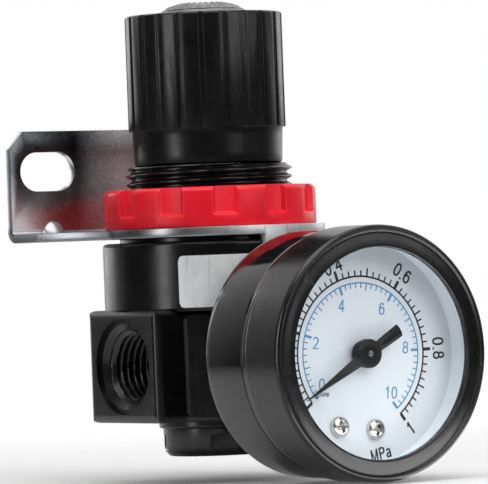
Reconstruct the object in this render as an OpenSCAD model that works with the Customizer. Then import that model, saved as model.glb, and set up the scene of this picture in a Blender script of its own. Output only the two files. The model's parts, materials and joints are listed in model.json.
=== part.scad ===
// Compact relieving gas pressure regulator with a push-lock knob, a wall bracket
// and a back-entry dial gauge. Millimetres, +Z up, ports along X, gauge towards -Y.
// The origin is the centre of the bracket's slot pattern on its wall face.

/* [Body] */
// Distance between the two port faces
port_span = 40; // [39:0.5:42]
// Radius of the round upper body
body_r = 19.5; // [19.3:0.1:20.2]
// Width of a port boss
boss_w = 22.2; // [20:0.2:23]
// Height of a port boss
boss_h = 20; // [19:0.5:20.5]
// Major radius of the inlet and outlet threads
port_r = 6.58; // [6.4:0.02:6.8]
// Depth of the inlet and outlet threads from the port face
port_depth = 10.6; // [10:0.2:11]
// Radius of the counterbore at each port
port_cb_r = 8.5; // [8:0.1:8.8]
// Height of the gauge axis above the port axis
gauge_z = 1.3; // [0.8:0.1:1.8]

/* [Bonnet and nut] */
// Crest radius of the bonnet's mounting thread
thread_r = 14.85; // [14.8:0.01:14.88]
// Pitch of the mounting thread
thread_pitch = 1.5; // [1.25:0.25:1.5]
// Outer radius of the panel nut
nut_r = 18.9; // [18.4:0.1:19.2]
// Number of spanner notches in the panel nut
nut_notches = 12; // [8:1:16]
// Width of a spanner notch at the rim
notch_w = 4.6; // [3:0.1:5]

/* [Bracket] */
// Sheet thickness
sheet_t = 1.6; // [1.2:0.1:1.6]
// Half width of the wall plate
plate_hw = 28.8; // [27:0.2:31]
// Half distance between slot centres
slot_x = 20.8; // [20:0.2:21.5]
// End-to-end length of a slot
slot_l = 11.4; // [10:0.2:12]
// Width of a slot
slot_w = 7.0; // [5.4:0.2:7.4]

/* [Knob] */
// Outer radius over the ribs
knob_r = 14.1; // [13.9:0.1:14.3]
// Number of grip grooves
knob_grooves = 22; // [16:1:26]
// How far the knob lifts to unlock
knob_lift = 2.5; // [1.5:0.5:2.5]

/* [Gauge] */
// Outer radius of the gauge bezel
bezel_r = 22.0; // [21.8:0.1:22.4]
// Outer radius of the gauge case
case_r = 21.5; // [21.3:0.1:21.6]
// Length of the pointer from its axis to its tip
pointer_l = 15.2; // [13:0.2:15.4]

/* [Hidden] */
$fn = 96;
eps = 0.01;

hx = port_span / 2;
body_top = 21.8;
body_low = 9.5;
shelf_z = 13.0;
flange_z = 22.55;              // underside of the bracket flange
nut_z0 = flange_z + sheet_t;
nut_z1 = nut_z0 + 7.1;
thread_top = 35.2;
root_r = thread_r - 0.92;
wall_y = 22.6;                 // wall face of the bracket
slot_z = 35.3;
plate_top = 42.6;
ring_z = -11.4;                // underside of the body's bottom ring
plug_z = -16.4;                // bottom of the plug head
knob_z0 = 35.35;
rib_z0 = 41.7;
knob_z1 = 62.2;
skirt_r = knob_r - 0.88;        // at the foot; it widens a little upwards
dial_y = 43.7;                 // distances below are measured forwards, along -Y
case_back = 27.5;
bezel_back = 41.0;
bezel_front = 50.75;
lens_back = 48.3;
dial_turn = -8;                // the dial sits turned clockwise in its socket
pin_teeth = 10;
sec_teeth = 60;
gear_m = 0.30;
gear_d = gear_m * (pin_teeth + sec_teeth) / 2;
sec_dir = -20;                 // direction of the sector's arbor from the dial centre, degrees from +X towards +Z
rest_turn = dial_turn + 127.6;   // the pointer rests on its pin, just past zero
screw_turn = -6.3;
screw_x = 3.8;
screw_y = -12.8;
move_y = 33.0;                 // back of the movement
tube_r = 15.8;                 // centre line of the pressure tube
tail_l = 2.2;                  // sector arbor to link pin
sec_x = gear_d * cos(sec_dir);
sec_y = gear_d * sin(sec_dir);
tail_x = sec_x + tail_l * cos(247.5);
tail_y = sec_y + tail_l * sin(247.5);
link_dx = 4.6;                 // link pin to tip pin
link_dy = -3.0;

module frame_shift() translate([0, -wall_y, -slot_z]) children();
// local z runs forwards, along -Y, about the gauge axis
module forwards(x = 0, z = gauge_z) translate([x, 0, z]) rotate([90, 0, 0]) children();
module ring(r1, r0, z0, z1) difference() {
  translate([0, 0, z0]) cylinder(r = r1, h = z1 - z0);
  translate([0, 0, z0 - 1]) cylinder(r = r0, h = z1 - z0 + 2);
}
module rod(r, z0, z1) translate([0, 0, z0]) cylinder(r = r, h = z1 - z0);
// a bar of rounded rectangular section along local z, exact at every edge
module rbar(w, h, r, z0, z1) translate([0, 0, z0]) {
  translate([-w / 2 + r, -h / 2, 0]) cube([w - 2 * r, h, z1 - z0]);
  translate([-w / 2, -h / 2 + r, 0]) cube([w, h - 2 * r, z1 - z0]);
  for (a = [-1, 1], b = [-1, 1])
    translate([a * (w / 2 - r), b * (h / 2 - r), 0]) cylinder(r = r, h = z1 - z0, $fn = 48);
}
module torus(R, r, z) translate([0, 0, z]) rotate_extrude() translate([R, 0]) circle(r = r, $fn = 32);

// ---------- pressure body ----------
module rrect(w, h, r) {
  square([w - 2 * r, h], center = true);
  square([w, h - 2 * r], center = true);
  for (a = [-1, 1], b = [-1, 1]) translate([a * (w / 2 - r), b * (h / 2 - r)]) circle(r = r, $fn = 48);
}
// a block rounded on all twelve edges
module rblock(x, y, z, r) intersection() {
  translate([0, 0, -z]) linear_extrude(2 * z) rrect(x, y, r);
  translate([0, y, 0]) rotate([90, 0, 0]) linear_extrude(2 * y) rrect(x, z, r);
  translate([-x, 0, 0]) rotate([0, 90, 0]) linear_extrude(2 * x) rrect(z, y, r);
}
module body() color([0.07, 0.07, 0.075]) difference() {
  union() {
    rotate_extrude() {
      translate([0, body_low]) square([body_r - 0.8, body_top - body_low]);
      translate([0, body_low + 0.5]) square([body_r, body_top - body_low - 1.3]);
      translate([body_r - 0.8, body_top - 0.8]) circle(r = 0.8, $fn = 48);
      polygon([[body_r - 0.9, body_low], [body_r - 0.5, body_low], [body_r, body_low + 0.5], [body_r, body_low + 1], [body_r - 0.9, body_low + 1]]);
    }
    rotate_extrude() {
      translate([0, -boss_h / 2 + 0.8]) square([17.7, 18]);
      translate([0, -boss_h / 2]) square([16.9, 2]);
      translate([16.9, -boss_h / 2 + 0.8]) circle(r = 0.8, $fn = 48);
    }
    rblock(port_span, boss_w, boss_h, 1.4);
    translate([0, -1.25, 0.9]) rblock(19, 38.5, 17, 1.4);
    rotate_extrude() {
      translate([0, ring_z]) square([10.2, 3]);
      translate([0, ring_z + 0.4]) square([10.6, 3]);
      translate([10.2, ring_z + 0.4]) circle(r = 0.4, $fn = 48);
    }
  }
  // diaphragm seat and sensing chamber
  rod(16.5, shelf_z, body_top + 1);
  rod(14, 11.2, shelf_z + 1);
  // gas ports
  for (s = [-1, 1]) {
    translate([s * hx, 0, 0]) rotate([0, -s * 90, 0]) {
      rod(port_r, -1, port_depth);
      rod(port_cb_r, -1, 0.7);
      translate([0, 0, 0.65]) cylinder(r1 = port_r + 1.05, r2 = port_r - 0.02, h = 0.97);
    }
  }
  translate([-hx + port_depth - 1, 0, -2]) rotate([0, 90, 0]) rod(3.2, 0, 5);
  translate([5.2, 0, 4.6]) rotate([0, 90, 0]) rod(1.8, 0, 5.4);
  // gauge ports, front and rear
  forwards() {
    rod(4.9, 11.6, 22);
    rod(4.9, -20, -10.6);
  }
  translate([0, -4.5, 5.1]) rotate([90, 0, 0]) rod(1.0, 0, 8);
  translate([0, 4.5, 5.1]) rotate([-90, 0, 0]) rod(1.0, 0, 7);
  // valve bore, seat and outlet chamber
  rod(8.05, ring_z - 1, -6);
  rod(7.0, -7, 1.5);
  rod(3.0, 0, 5);
  rod(6.0, 4.0, 9.0);
  rod(1.75, 8, 12);
  translate([4, 0, 8]) cylinder(r = 0.8, h = 4, $fn = 32);
  // notch for the bracket's locating tab
  translate([-2.55, -25, 19.35]) cube([5.1, 25 - 18.55, 5]);
}

// ---------- bonnet, nut, bracket ----------
function vthread(z0, n, p, rr, rc) = [for (i = [0:n - 1]) each
  [[rr, z0 + i * p + 0.08], [rc, z0 + (i + 0.5) * p - 0.06], [rc, z0 + (i + 0.5) * p + 0.06], [rr, z0 + (i + 1) * p - 0.08]]];
module bonnet() color([0.06, 0.06, 0.065]) difference() {
  union() {
    rotate_extrude() polygon(concat(
      [[0, 14.4], [16.4, 14.4], [16.4, body_top], [16.4, flange_z], [root_r, flange_z]],
      vthread(nut_z0 + 0.5, 7, thread_pitch, root_r, thread_r),
      [[root_r, thread_top], [11.3, thread_top], [11.3, 48], [0, 48]]));
    for (i = [0:23]) rotate([0, 0, i * 15]) translate([11, -0.5, 43.6]) cube([0.55, 1.0, 2.4]);
  }
  rod(13.95, 14, 18.5);
  rod(9.6, 14, 46);
  rod(4.2, 40, 50);
  for (a = [0, 180]) rotate([0, 0, a]) translate([9, -1.6, 30]) cube([1.5, 3.2, 15.6]);
  translate([0, 0, 39]) rotate([0, 90, 90]) cylinder(r = 0.8, h = 14, $fn = 32);
}

module panel_nut() color([0.78, 0.05, 0.09]) difference() {
  rotate_extrude() {
    polygon([[thread_r + 0.06, nut_z0], [nut_r - 0.35, nut_z0], [nut_r - 0.08, nut_z0 + 0.1], [nut_r, nut_z0 + 0.35],
      [nut_r, nut_z1 - 0.78], [nut_r - 0.12, nut_z1 - 0.55], [nut_r - 0.58, nut_z1 - 0.1], [nut_r - 0.85, nut_z1],
      [thread_r + 0.06 + 0.5, nut_z1], [thread_r + 0.06, nut_z1 - 0.5]]);
  }
  for (i = [0:nut_notches - 1]) rotate([0, 0, -90 - 25.8 + i * 360 / nut_notches]) intersection() {
    translate([nut_r, 0, nut_z0]) linear_extrude(10) polygon([[-1, 0.55 - notch_w / 2], [1, -notch_w / 2 - 0.55], [1, notch_w / 2 + 0.55], [-1, notch_w / 2 - 0.55]]);
    translate([nut_r, 5, nut_z0]) rotate([90, 0, 0]) linear_extrude(10) polygon([[-1, 2.5], [1, 1.65], [1, 9], [-1, 9]]);
  }
}

module mounting_bracket() color([0.72, 0.73, 0.75]) {
  difference() {
    union() {
      // flange: round nose flaring to the full width of the wall plate
      rod(20.4, flange_z, nut_z0);
      translate([0, 0, flange_z]) linear_extrude(sheet_t) polygon([[-19.6, -5.66], [19.6, -5.66], [20.6, 2],
        [plate_hw, 12.5], [plate_hw, wall_y - 2.4], [-plate_hw, wall_y - 2.4], [-plate_hw, 12.5], [-20.6, 2]]);
      // wall plate
      translate([0, wall_y, 0]) rotate([90, 0, 0]) linear_extrude(sheet_t) polygon([
        [-plate_hw, flange_z + 2.4], [plate_hw, flange_z + 2.4], [plate_hw, plate_top - 3.1], [plate_hw - 2.9, plate_top],
        [-plate_hw + 2.9, plate_top], [-plate_hw, plate_top - 3.1]]);
      // bend
      translate([-plate_hw, wall_y - 2.4, flange_z + 2.4]) rotate([0, 90, 0])
        intersection() {
          difference() {
            cylinder(r = 2.4, h = 2 * plate_hw);
            translate([0, 0, -1]) cylinder(r = 2.4 - sheet_t, h = 2 * plate_hw + 2);
          }
          translate([0, 0, -1]) cube([5, 5, 2 * plate_hw + 2]);
        }
      // stiffening dimples across the bend
      for (s = [-1, 1]) intersection() {
        translate([s * 20, wall_y - sheet_t + 0.35, nut_z0 - 0.85]) rotate([-45, 0, 0])
          translate([0, 0, -6]) cylinder(r = 2.4, h = 12, $fn = 48);
        translate([-40, 0, nut_z0 - 0.2]) cube([80, wall_y - sheet_t + 0.2, 4]);
      }
      // locating tab
      translate([-2.3, -20.4, 19.6]) cube([4.6, sheet_t, nut_z0 - 19.6]);
    }
    rod(15.1, 20, 30);
    for (s = [-1, 1]) translate([s * slot_x, 30, slot_z]) rotate([90, 0, 0]) {
      for (e = [-1, 1]) translate([e * (slot_l - slot_w) / 2, 0, 0]) cylinder(r = slot_w / 2, h = 20);
      translate([-(slot_l - slot_w) / 2, -slot_w / 2, 0]) cube([slot_l - slot_w, slot_w, 20]);
    }
  }
}

module label_sticker() color([0.83, 0.83, 0.86]) intersection() {
  ring(body_r + 0.12, body_r + 0.02, 10.1, 19.2);
  rotate([0, 0, -90]) linear_extrude(30) polygon([[0, 0], [30 * cos(52), -30 * sin(52)], [45, -30 * sin(52)], [45, 30 * sin(52)], [30 * cos(52), 30 * sin(52)]]);
}

// ---------- knob group ----------
function polar(r, a) = [r * cos(a), r * sin(a)];
// grip section: flat panels between narrow grooves
function grip(n, r, gap, depth) = let (p = 360 / n, g = asin(gap / 2 / r), f = asin((gap / 2 - 0.08) / (r - depth)))
  [for (i = [0:n - 1]) each [polar(r, i * p + g), polar(r, (i + 1) * p - g), polar(r - depth, (i + 1) * p - f), polar(r - depth, (i + 1) * p + f)]];
module knob() color([0.055, 0.055, 0.06]) difference() {
  union() {
    difference() {
      union() {
        rotate_extrude() polygon([[0, knob_z0], [skirt_r - 0.35, knob_z0], [skirt_r - 0.1, knob_z0 + 0.1], [skirt_r, knob_z0 + 0.35], [skirt_r + 0.25, rib_z0 + 0.1], [0, rib_z0 + 0.1]]);
        intersection() {
          rotate([0, 0, -90 - 36.15]) translate([0, 0, rib_z0]) linear_extrude(40) polygon(grip(knob_grooves, knob_r, 1.16, 0.3));
          rotate_extrude() polygon([[0, rib_z0], [knob_r + 1, rib_z0], [knob_r + 1, knob_z1 - 1.35], [knob_r - 0.1, knob_z1 - 0.25], [knob_r - 0.45, knob_z1], [0, knob_z1]]);
        }
      }
      rod(12.2, knob_z0 - 1, 49);
      ring(12.2, 5.4, 48.5, 56);
    }
    for (i = [0:23]) rotate([0, 0, i * 15 + 7.5]) translate([11.65, -0.45, 43.8]) cube([0.8, 0.9, 2.2]);
  }
  rod(9.8, 60.4, 64);
  rod(5.2, 57.8, 62);
  translate([-2.9, -2.9, 40]) cube([5.8, 5.8, 30]);
}

module knob_cap() color([0.11, 0.11, 0.115]) {
  rotate_extrude() polygon([[0, 61.9], [8, 61.9], [8, 60.5], [9.7, 60.5], [9.7, 62.15], [9.4, 62.4], [7.9, 62.45], [7.65, 62.75],
    [7.3, 63.1], [6.8, 63.4], [6.2, 63.65], [5.5, 63.85], [4.5, 64.05], [3, 64.25], [1.5, 64.36], [0, 64.4]]);
  // fine ribs down the shoulder
  for (i = [0:21]) rotate([0, 0, i * 360 / 22]) translate([5.0, 0, 63.78]) rotate([0, 90 + 19, 0]) cylinder(r = 0.36, h = 1.9, $fn = 16);
}

module adjusting_screw() color([0.75, 0.75, 0.77]) difference() {
  union() {
    rod(4.0, 33.5, 45.2);
    rod(7.4, 45.15, 45.95);
    rod(4.1, 45.5, 48.4);
    translate([-2.8, -2.8, 48.2]) cube([5.6, 5.6, 13.1]);
  }
  ring(6, 2.1, 60.4, 60.9);
  for (z = [34:1.25:44]) ring(6, 3.55, z, z + 0.5);
}
module screw_clip() color([0.55, 0.56, 0.6]) difference() {
  ring(4.7, 2.2, 60.45, 60.85);
  translate([0, -1.2, 60]) cube([6, 2.4, 2]);
}
module adjusting_nut() color([0.78, 0.62, 0.3]) difference() {
  union() {
    rod(9.3, 40.6, 43.4);
    rod(6.2, 38.4, 44.9);
    for (a = [0, 180]) rotate([0, 0, a]) translate([8, -1.45, 40.6]) cube([2.3, 2.9, 2.8]);
  }
  rod(4.06, 30, 50);
}

// a coil spring as one solid: a swept tube of round numbers
function coil_pt(t, R, z0, z1, n) = [R * cos(360 * n * t), R * sin(360 * n * t), z0 + (z1 - z0) * t];
module coil(R, w, z0, z1, n, seg, sides) {
  N = n * seg;
  a = z0 + w; b = z1 - w;
  pts = [for (i = [0:N]) let (t = i / N, p = coil_pt(t, R, a, b, n), an = 360 * n * t)
    for (k = [0:sides - 1]) let (f = 360 * k / sides)
      [p[0] + w * cos(f) * cos(an), p[1] + w * cos(f) * sin(an), p[2] + w * sin(f)]];
  faces = concat([[for (k = [0:sides - 1]) k]],
    [for (i = [0:N - 1], k = [0:sides - 1]) let (a0 = i * sides + k, a1 = i * sides + (k + 1) % sides)
      [a0, a0 + sides, a1 + sides]],
    [for (i = [0:N - 1], k = [0:sides - 1]) let (a0 = i * sides + k, a1 = i * sides + (k + 1) % sides)
      [a0, a1 + sides, a1]],
    [[for (k = [sides - 1:-1:0]) N * sides + k]]);
  polyhedron(points = pts, faces = faces, convexity = 10);
}
module main_spring() color([0.6, 0.6, 0.62]) coil(7.6, 1.1, 15.45, 40.55, 6, 20, 8);
module valve_spring() color([0.7, 0.7, 0.72]) coil(3.7, 0.35, -6.55, -1.7, 4, 16, 6);

// ---------- diaphragm group ----------
module diaphragm() color([0.12, 0.12, 0.12]) rotate_extrude() polygon([
  [3.05, 13.25], [9.5, 13.25], [10.1, 13.5], [10.7, 14.6], [11.4, 15.0], [12.2, 14.6], [12.8, 13.4], [13.6, 13.02],
  [16.4, 13.02], [16.4, 14.38], [13.9, 14.38], [13.5, 14.6], [12.9, 15.7], [11.9, 16.3], [11.4, 16.4], [10.9, 16.3],
  [9.9, 15.7], [9.4, 14.6], [9.0, 14.25], [3.05, 14.25]]);
module diaphragm_hub() color([0.78, 0.62, 0.3]) difference() {
  union() { rod(6.4, 12.4, 13.22); rod(2.98, 13, 18.4); }
  rod(0.9, 10, 20);
}
module spring_washer() color([0.66, 0.67, 0.69]) difference() {
  union() { rod(8.9, 14.28, 15.4); rod(6.2, 15, 16.0); }
  rod(3.05, 14, 18);
}
module diaphragm_nut() color([0.78, 0.62, 0.3]) difference() {
  translate([0, 0, 16.02]) cylinder(r = 5.0, h = 2.0, $fn = 6);
  rod(3.03, 15, 20);
}

// ---------- valve group ----------
module valve_stem() color([0.8, 0.65, 0.33]) difference() {
  union() {
    rod(1.3, -0.5, 12.36);
    rod(4.9, -1.65, -0.1);
    rod(2.4, -10.6, -1);
  }
  ring(3, 1.65, -9.6, -8.5);
}
module valve_seal() color([0.1, 0.1, 0.1]) ring(4.6, 1.33, -0.08, 1.44);
module stem_o_ring() color([0.08, 0.08, 0.08]) torus(2.1, 0.44, -9.05);
module bottom_plug() color([0.05, 0.05, 0.055]) difference() {
  union() {
    rotate_extrude() polygon([[0, plug_z], [8.8, plug_z], [9.6, plug_z + 0.8], [9.9, plug_z + 1.6], [9.9, ring_z - 0.05], [7.98, ring_z - 0.05], [7.98, -6.6], [0, -6.6]]);
  }
  ring(9, 6.7, -8.9, -7.3);
  rod(2.62, -13, -5);
  // spanner pockets moulded into the head
  for (i = [0:3]) rotate([0, 0, i * 90 + 61]) translate([9.4, -2.2, plug_z + 0.9]) cube([2, 4.4, 2.9]);
}
module plug_o_ring() color([0.08, 0.08, 0.08]) torus(7.36, 0.64, -8.1);
module rear_port_plug() color([0.35, 0.35, 0.37]) forwards() difference() {
  rod(4.84, -17.9, -11.2);
  translate([0, 0, -18]) cylinder(r = 2.9, h = 3.6, $fn = 6);
}

// ---------- gauge ----------
module gauge_socket() color([0.8, 0.64, 0.32]) forwards() difference() {
  union() {
    rod(4.84, 12.2, 21.5);
    rbar(11, 11, 1.0, 21.2, case_back);
    rod(4.5, case_back - 1, 29);
    rotate([0, 0, dial_turn]) {
      translate([-6.4, -17.9, 28.32]) cube([12.8, 24.6, move_y - 28.32]);
      translate([-6.4, -17.9, 30]) cube([12.8, 7.4, 6.2]);
      }
    rotate([0, 0, screw_turn]) for (s = [-1, 1]) translate([s * screw_x, screw_y, 0]) rod(1.7, 36, dial_y - 0.52);
  }
  rod(1.2, 10, 32.2);
  rotate([0, 0, dial_turn]) {
    // drillings from the stem to the root of the tube
    translate([0, 0, 31.5]) rotate([90, 0, 0]) rod(0.9, 0, 16.2);
    translate([0, -15.6, 31.5]) rotate([0, -90, 0]) rod(0.9, 0, 7);
  }
  rotate([0, 0, screw_turn]) for (s = [-1, 1]) translate([s * screw_x, screw_y, 0]) rod(1.02, 38.5, 45);
  // slot for the root of the tube
  tube_arc(0.03, 246.0, 230);
  for (p = [[-4.6, 4.4], [-4.6, -4.4]]) translate([p[0], p[1], 0]) rod(0.72, 31, 34);
}
module gauge_case() color([0.05, 0.05, 0.055]) forwards() difference() {
  rotate_extrude() polygon([[4.55, case_back], [case_r - 1.2, case_back], [case_r - 0.35, case_back + 0.35], [case_r, case_back + 1.2], [case_r, bezel_back],
    [case_r - 0.35, bezel_back], [case_r - 0.35, 46.5], [case_r - 1.15, 46.5], [case_r - 1.15, case_back + 0.8], [4.55, case_back + 0.8]]);
}
module gauge_bezel() color([0.05, 0.05, 0.055]) forwards() rotate_extrude() polygon([
  [case_r - 0.3, bezel_back + 0.03], [bezel_r - 0.2, bezel_back + 0.03], [bezel_r, bezel_back + 0.25], [bezel_r, bezel_front - 0.75],
  [bezel_r - 0.08, bezel_front - 0.4], [bezel_r - 0.35, bezel_front - 0.1], [bezel_r - 0.7, bezel_front], [bezel_r - 0.95, bezel_front - 0.05],
  [bezel_r - 1.1, bezel_front - 0.35], [bezel_r - 1.45, bezel_front - 0.4], [bezel_r - 3.5, bezel_front - 0.1],
  [bezel_r - 3.8, bezel_front - 0.2], [bezel_r - 3.9, bezel_front - 0.45], [bezel_r - 3.9, lens_back + 1.22], [case_r - 0.3, lens_back + 1.22]]);
module gauge_lens() color([0.9, 0.95, 1.0, 0.3]) forwards() rod(20.9, lens_back, lens_back + 1.2);
module lens_gasket() color([0.1, 0.1, 0.1]) forwards() ring(20.9, 19.3, lens_back - 0.68, lens_back - 0.02);
module dial_ring() color([0.92, 0.93, 0.95]) forwards() ring(20.3, 19.3, dial_y + 0.02, lens_back - 0.7);
module dial_plate() color([0.93, 0.94, 0.96]) forwards() difference() {
  rod(20.3, dial_y - 0.5, dial_y);
  rod(1.2, 40, 46);
  rotate([0, 0, screw_turn]) for (s = [-1, 1]) translate([s * screw_x, screw_y, 40]) cylinder(r = 1.05, h = 6, $fn = 32);
  rotate([0, 0, rest_turn]) translate([-1.05, 11.5, 40]) cylinder(r = 0.42, h = 6, $fn = 32);
}
module dial_screws() color([0.8, 0.78, 0.74]) forwards() rotate([0, 0, screw_turn]) for (s = [-1, 1]) translate([s * screw_x, screw_y, 0]) difference() {
  union() {
    rod(1.0, 38.6, dial_y + 0.3);
    rod(1.8, dial_y + 0.02, dial_y + 0.8);
    rod(1.45, dial_y + 0.5, dial_y + 1.15);
  }
  for (a = [0, 90]) rotate([0, 0, a + 20 * s]) translate([-1.0, -0.22, dial_y + 0.55]) cube([2.0, 0.44, 2]);
}
module stop_pin() color([0.2, 0.2, 0.2]) forwards() rotate([0, 0, rest_turn])
  translate([-1.05, 11.5, 0]) rod(0.4, dial_y - 0.45, dial_y + 3.0);

module pointer() color([0.06, 0.06, 0.06]) forwards() rotate([0, 0, rest_turn]) difference() {
  union() {
    rod(2.5, dial_y + 1.4, dial_y + 2.92);
    rod(2.3, dial_y + 0.45, dial_y + 2.2);
    translate([0, 0, dial_y + 2.3]) linear_extrude(0.5) polygon([[-0.95, 0], [0.95, 0], [0.22, pointer_l], [-0.22, pointer_l]]);
    translate([0, 0, dial_y + 2.3]) linear_extrude(0.6) polygon([[-1.15, 0], [1.15, 0], [1.15, -7.7], [-1.15, -7.7]]);
  }
  rod(0.52, 40, 50);
}
// an involute gear blank in its own plane; only the teeth from first to last are cut
function inv(rb, a) = [rb * (cos(a) + a * PI / 180 * sin(a)), rb * (sin(a) - a * PI / 180 * cos(a))];
function rot2(p, a) = [p[0] * cos(a) - p[1] * sin(a), p[0] * sin(a) + p[1] * cos(a)];
function tooth(n, m, thin) = let (rp = n * m / 2, rb = rp * cos(20), ra = rp + 0.8 * m, rr = rp - 1.15 * m,
    amax = sqrt(ra * ra / (rb * rb) - 1) * 180 / PI, ap = sqrt(rp * rp / (rb * rb) - 1) * 180 / PI,
    inva = ap - 20, half = 90 / n * thin,
    flank = [for (k = [0:4]) let (p = inv(rb, amax * k / 4)) rot2(p, -(half + inva))])
  concat([[rr * cos(half + inva + 0.01), -rr * sin(half + inva + 0.01)]], flank, [for (k = [4:-1:0]) [flank[k][0], -flank[k][1]]],
    [[rr * cos(half + inva + 0.01), rr * sin(half + inva + 0.01)]]);
module teeth2d(n, m, thin, first, last) for (i = [first:last]) rotate(i * 360 / n) polygon(concat([[n * m / 2 - 1.6 * m, 0]], tooth(n, m, thin)));

module pinion_shaft() color([0.8, 0.7, 0.4]) forwards() {
  rod(0.5, move_y + 0.2, dial_y + 3.08);
  rod(0.9, 35.2, 36.2);
  translate([0, 0, 36.2]) linear_extrude(2.2) rotate(sec_dir + 180 / pin_teeth) union() {
    circle(r = pin_teeth * gear_m / 2 - 1.1 * gear_m, $fn = 48);
    teeth2d(pin_teeth, gear_m, 0.84, 0, pin_teeth - 1);
  }
}
module sector_gear() color([0.8, 0.68, 0.38]) forwards() translate([sec_x, sec_y, 0]) {
  rod(0.6, move_y + 0.2, 41.2);
  rod(1.2, 36.0, 38.0);
  translate([0, 0, 36.6]) linear_extrude(1.2) rotate(sec_dir + 180) difference() {
    union() {
      intersection() {
        circle(r = sec_teeth * gear_m / 2 - 1.1 * gear_m);
        polygon([[0, 0], [20 * cos(57), -20 * sin(57)], [24, -8], [20 * cos(9), 20 * sin(9)]]);
      }
      teeth2d(sec_teeth, gear_m, 0.84, -9, 1);
      circle(r = 1.9);
      rotate(247.5 - sec_dir - 180) translate([tail_l, 0]) circle(r = 1.1, $fn = 48);
    }
    intersection() {
      difference() { circle(r = 7.3); circle(r = 3.4); }
      polygon([[0, 0], [20 * cos(46), -20 * sin(46)], [20, -8], [20, 0]]);
    }
    rotate(247.5 - sec_dir - 180) translate([tail_l, 0]) circle(r = 0.45, $fn = 32);
  }
}
module tip_link() color([0.75, 0.75, 0.78]) forwards() translate([tail_x, tail_y, 0]) {
  // the flat link and its two pins
  rod(0.38, 36.3, 38.2);
  translate([link_dx, link_dy, 0]) rod(0.38, 36.1, 38.2);
  translate([0, 0, 38.1]) linear_extrude(0.7) rotate(atan2(link_dy, link_dx)) {
    circle(r = 0.9, $fn = 48);
    translate([norm([link_dx, link_dy]), 0]) circle(r = 0.9, $fn = 48);
    translate([0, -0.6]) square([norm([link_dx, link_dy]), 1.2]);
  }
}
// the oval tube section swept about the gauge axis from angle a1 back to a0
module tube_arc(g, a1, a0, hollow = false) intersection() {
  rotate_extrude() difference() {
    union() {
      translate([tube_r - 1.3 - g, 30.7]) square([2.6 + 2 * g, 3.8]);
      for (e = [30.7, 34.5]) translate([tube_r, e]) circle(r = 1.3 + g, $fn = 48);
    }
    if (hollow) {
      translate([tube_r - 0.85, 30.7]) square([1.7, 3.8]);
      for (e = [30.7, 34.5]) translate([tube_r, e]) circle(r = 0.85, $fn = 48);
    }
  }
  translate([0, 0, 25]) linear_extrude(20) polygon(concat([[0, 0]], [for (k = [0:8]) let (a = a0 + (a1 - a0) * k / 8) [40 * cos(a), 40 * sin(a)]]));
}
module bourdon_tube() color([0.8, 0.6, 0.35]) forwards() tube_arc(0, 246, -32, true);
module tube_tip() color([0.78, 0.62, 0.35]) forwards() {
  difference() {
    union() {
      tube_arc(0, -32.02, -38);
      tube_arc(-0.47, -28, -34);
      translate([10.9, -11.3, 34.0]) cube([5.5, 4.2, 2.4]);
    }
    // slot for the link pin, as long as the tip's travel
    translate([tail_x + link_dx - 0.75, tail_y + link_dy - 0.9, 33]) cube([3.2, 1.5, 5]);
    // the tube itself ends short of the lug
    intersection() {
      tube_arc(0.02, -24, -32.02);
      translate([0, -20, 33.5]) cube([20, 20, 4]);
    }
  }
}
module movement_plates() color([0.8, 0.68, 0.4]) forwards() difference() {
  union() {
    for (z = [move_y + 0.02, 39.2]) translate([0, 0, z]) linear_extrude(1.0)
      polygon([[-6.2, -6.0], [-6.2, 6.0], [9.6, 5.6], [12.7, 3.4], [12.7, -5.0], [7.4, -6.8], [-2, -6.8]]);
    for (p = [[-4.6, 4.4], [-4.6, -4.4], [11.1, 3.2]]) translate([p[0], p[1], 0]) rod(1.35, move_y + 0.5, 39.6);
  }
  rod(0.56, 30, 45);
  translate([sec_x, sec_y, 0]) rod(0.66, 30, 45);
  for (p = [[-4.6, 4.4], [-4.6, -4.4]]) translate([p[0], p[1], 0]) rod(0.76, 30, 45);
}
module movement_screws() color([0.75, 0.75, 0.77]) forwards()
  for (p = [[-4.6, 4.4], [-4.6, -4.4]]) translate([p[0], p[1], 0]) difference() {
    union() { rod(0.7, 31.2, 40.4); rod(1.4, 40.22, 41.2); }
    translate([-2, -0.2, 40.8]) cube([4, 0.4, 1]);
  }

frame_shift() body();
frame_shift() bonnet();
frame_shift() panel_nut();
frame_shift() mounting_bracket();
frame_shift() label_sticker();
frame_shift() knob();
frame_shift() knob_cap();
frame_shift() adjusting_screw();
frame_shift() screw_clip();
frame_shift() adjusting_nut();
frame_shift() main_spring();
frame_shift() spring_washer();
frame_shift() diaphragm();
frame_shift() diaphragm_hub();
frame_shift() diaphragm_nut();
frame_shift() valve_stem();
frame_shift() valve_seal();
frame_shift() valve_spring();
frame_shift() stem_o_ring();
frame_shift() bottom_plug();
frame_shift() plug_o_ring();
frame_shift() rear_port_plug();
frame_shift() gauge_socket();
frame_shift() gauge_case();
frame_shift() gauge_bezel();
frame_shift() gauge_lens();
frame_shift() lens_gasket();
frame_shift() dial_ring();
frame_shift() dial_plate();
frame_shift() dial_screws();
frame_shift() stop_pin();
frame_shift() pointer();
frame_shift() pinion_shaft();
frame_shift() sector_gear();
frame_shift() tip_link();
frame_shift() bourdon_tube();
frame_shift() tube_tip();
frame_shift() movement_plates();
frame_shift() movement_screws();
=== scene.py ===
import json
import math

import bmesh
import bpy
import numpy as np
from mathutils import Matrix, Vector

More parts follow.
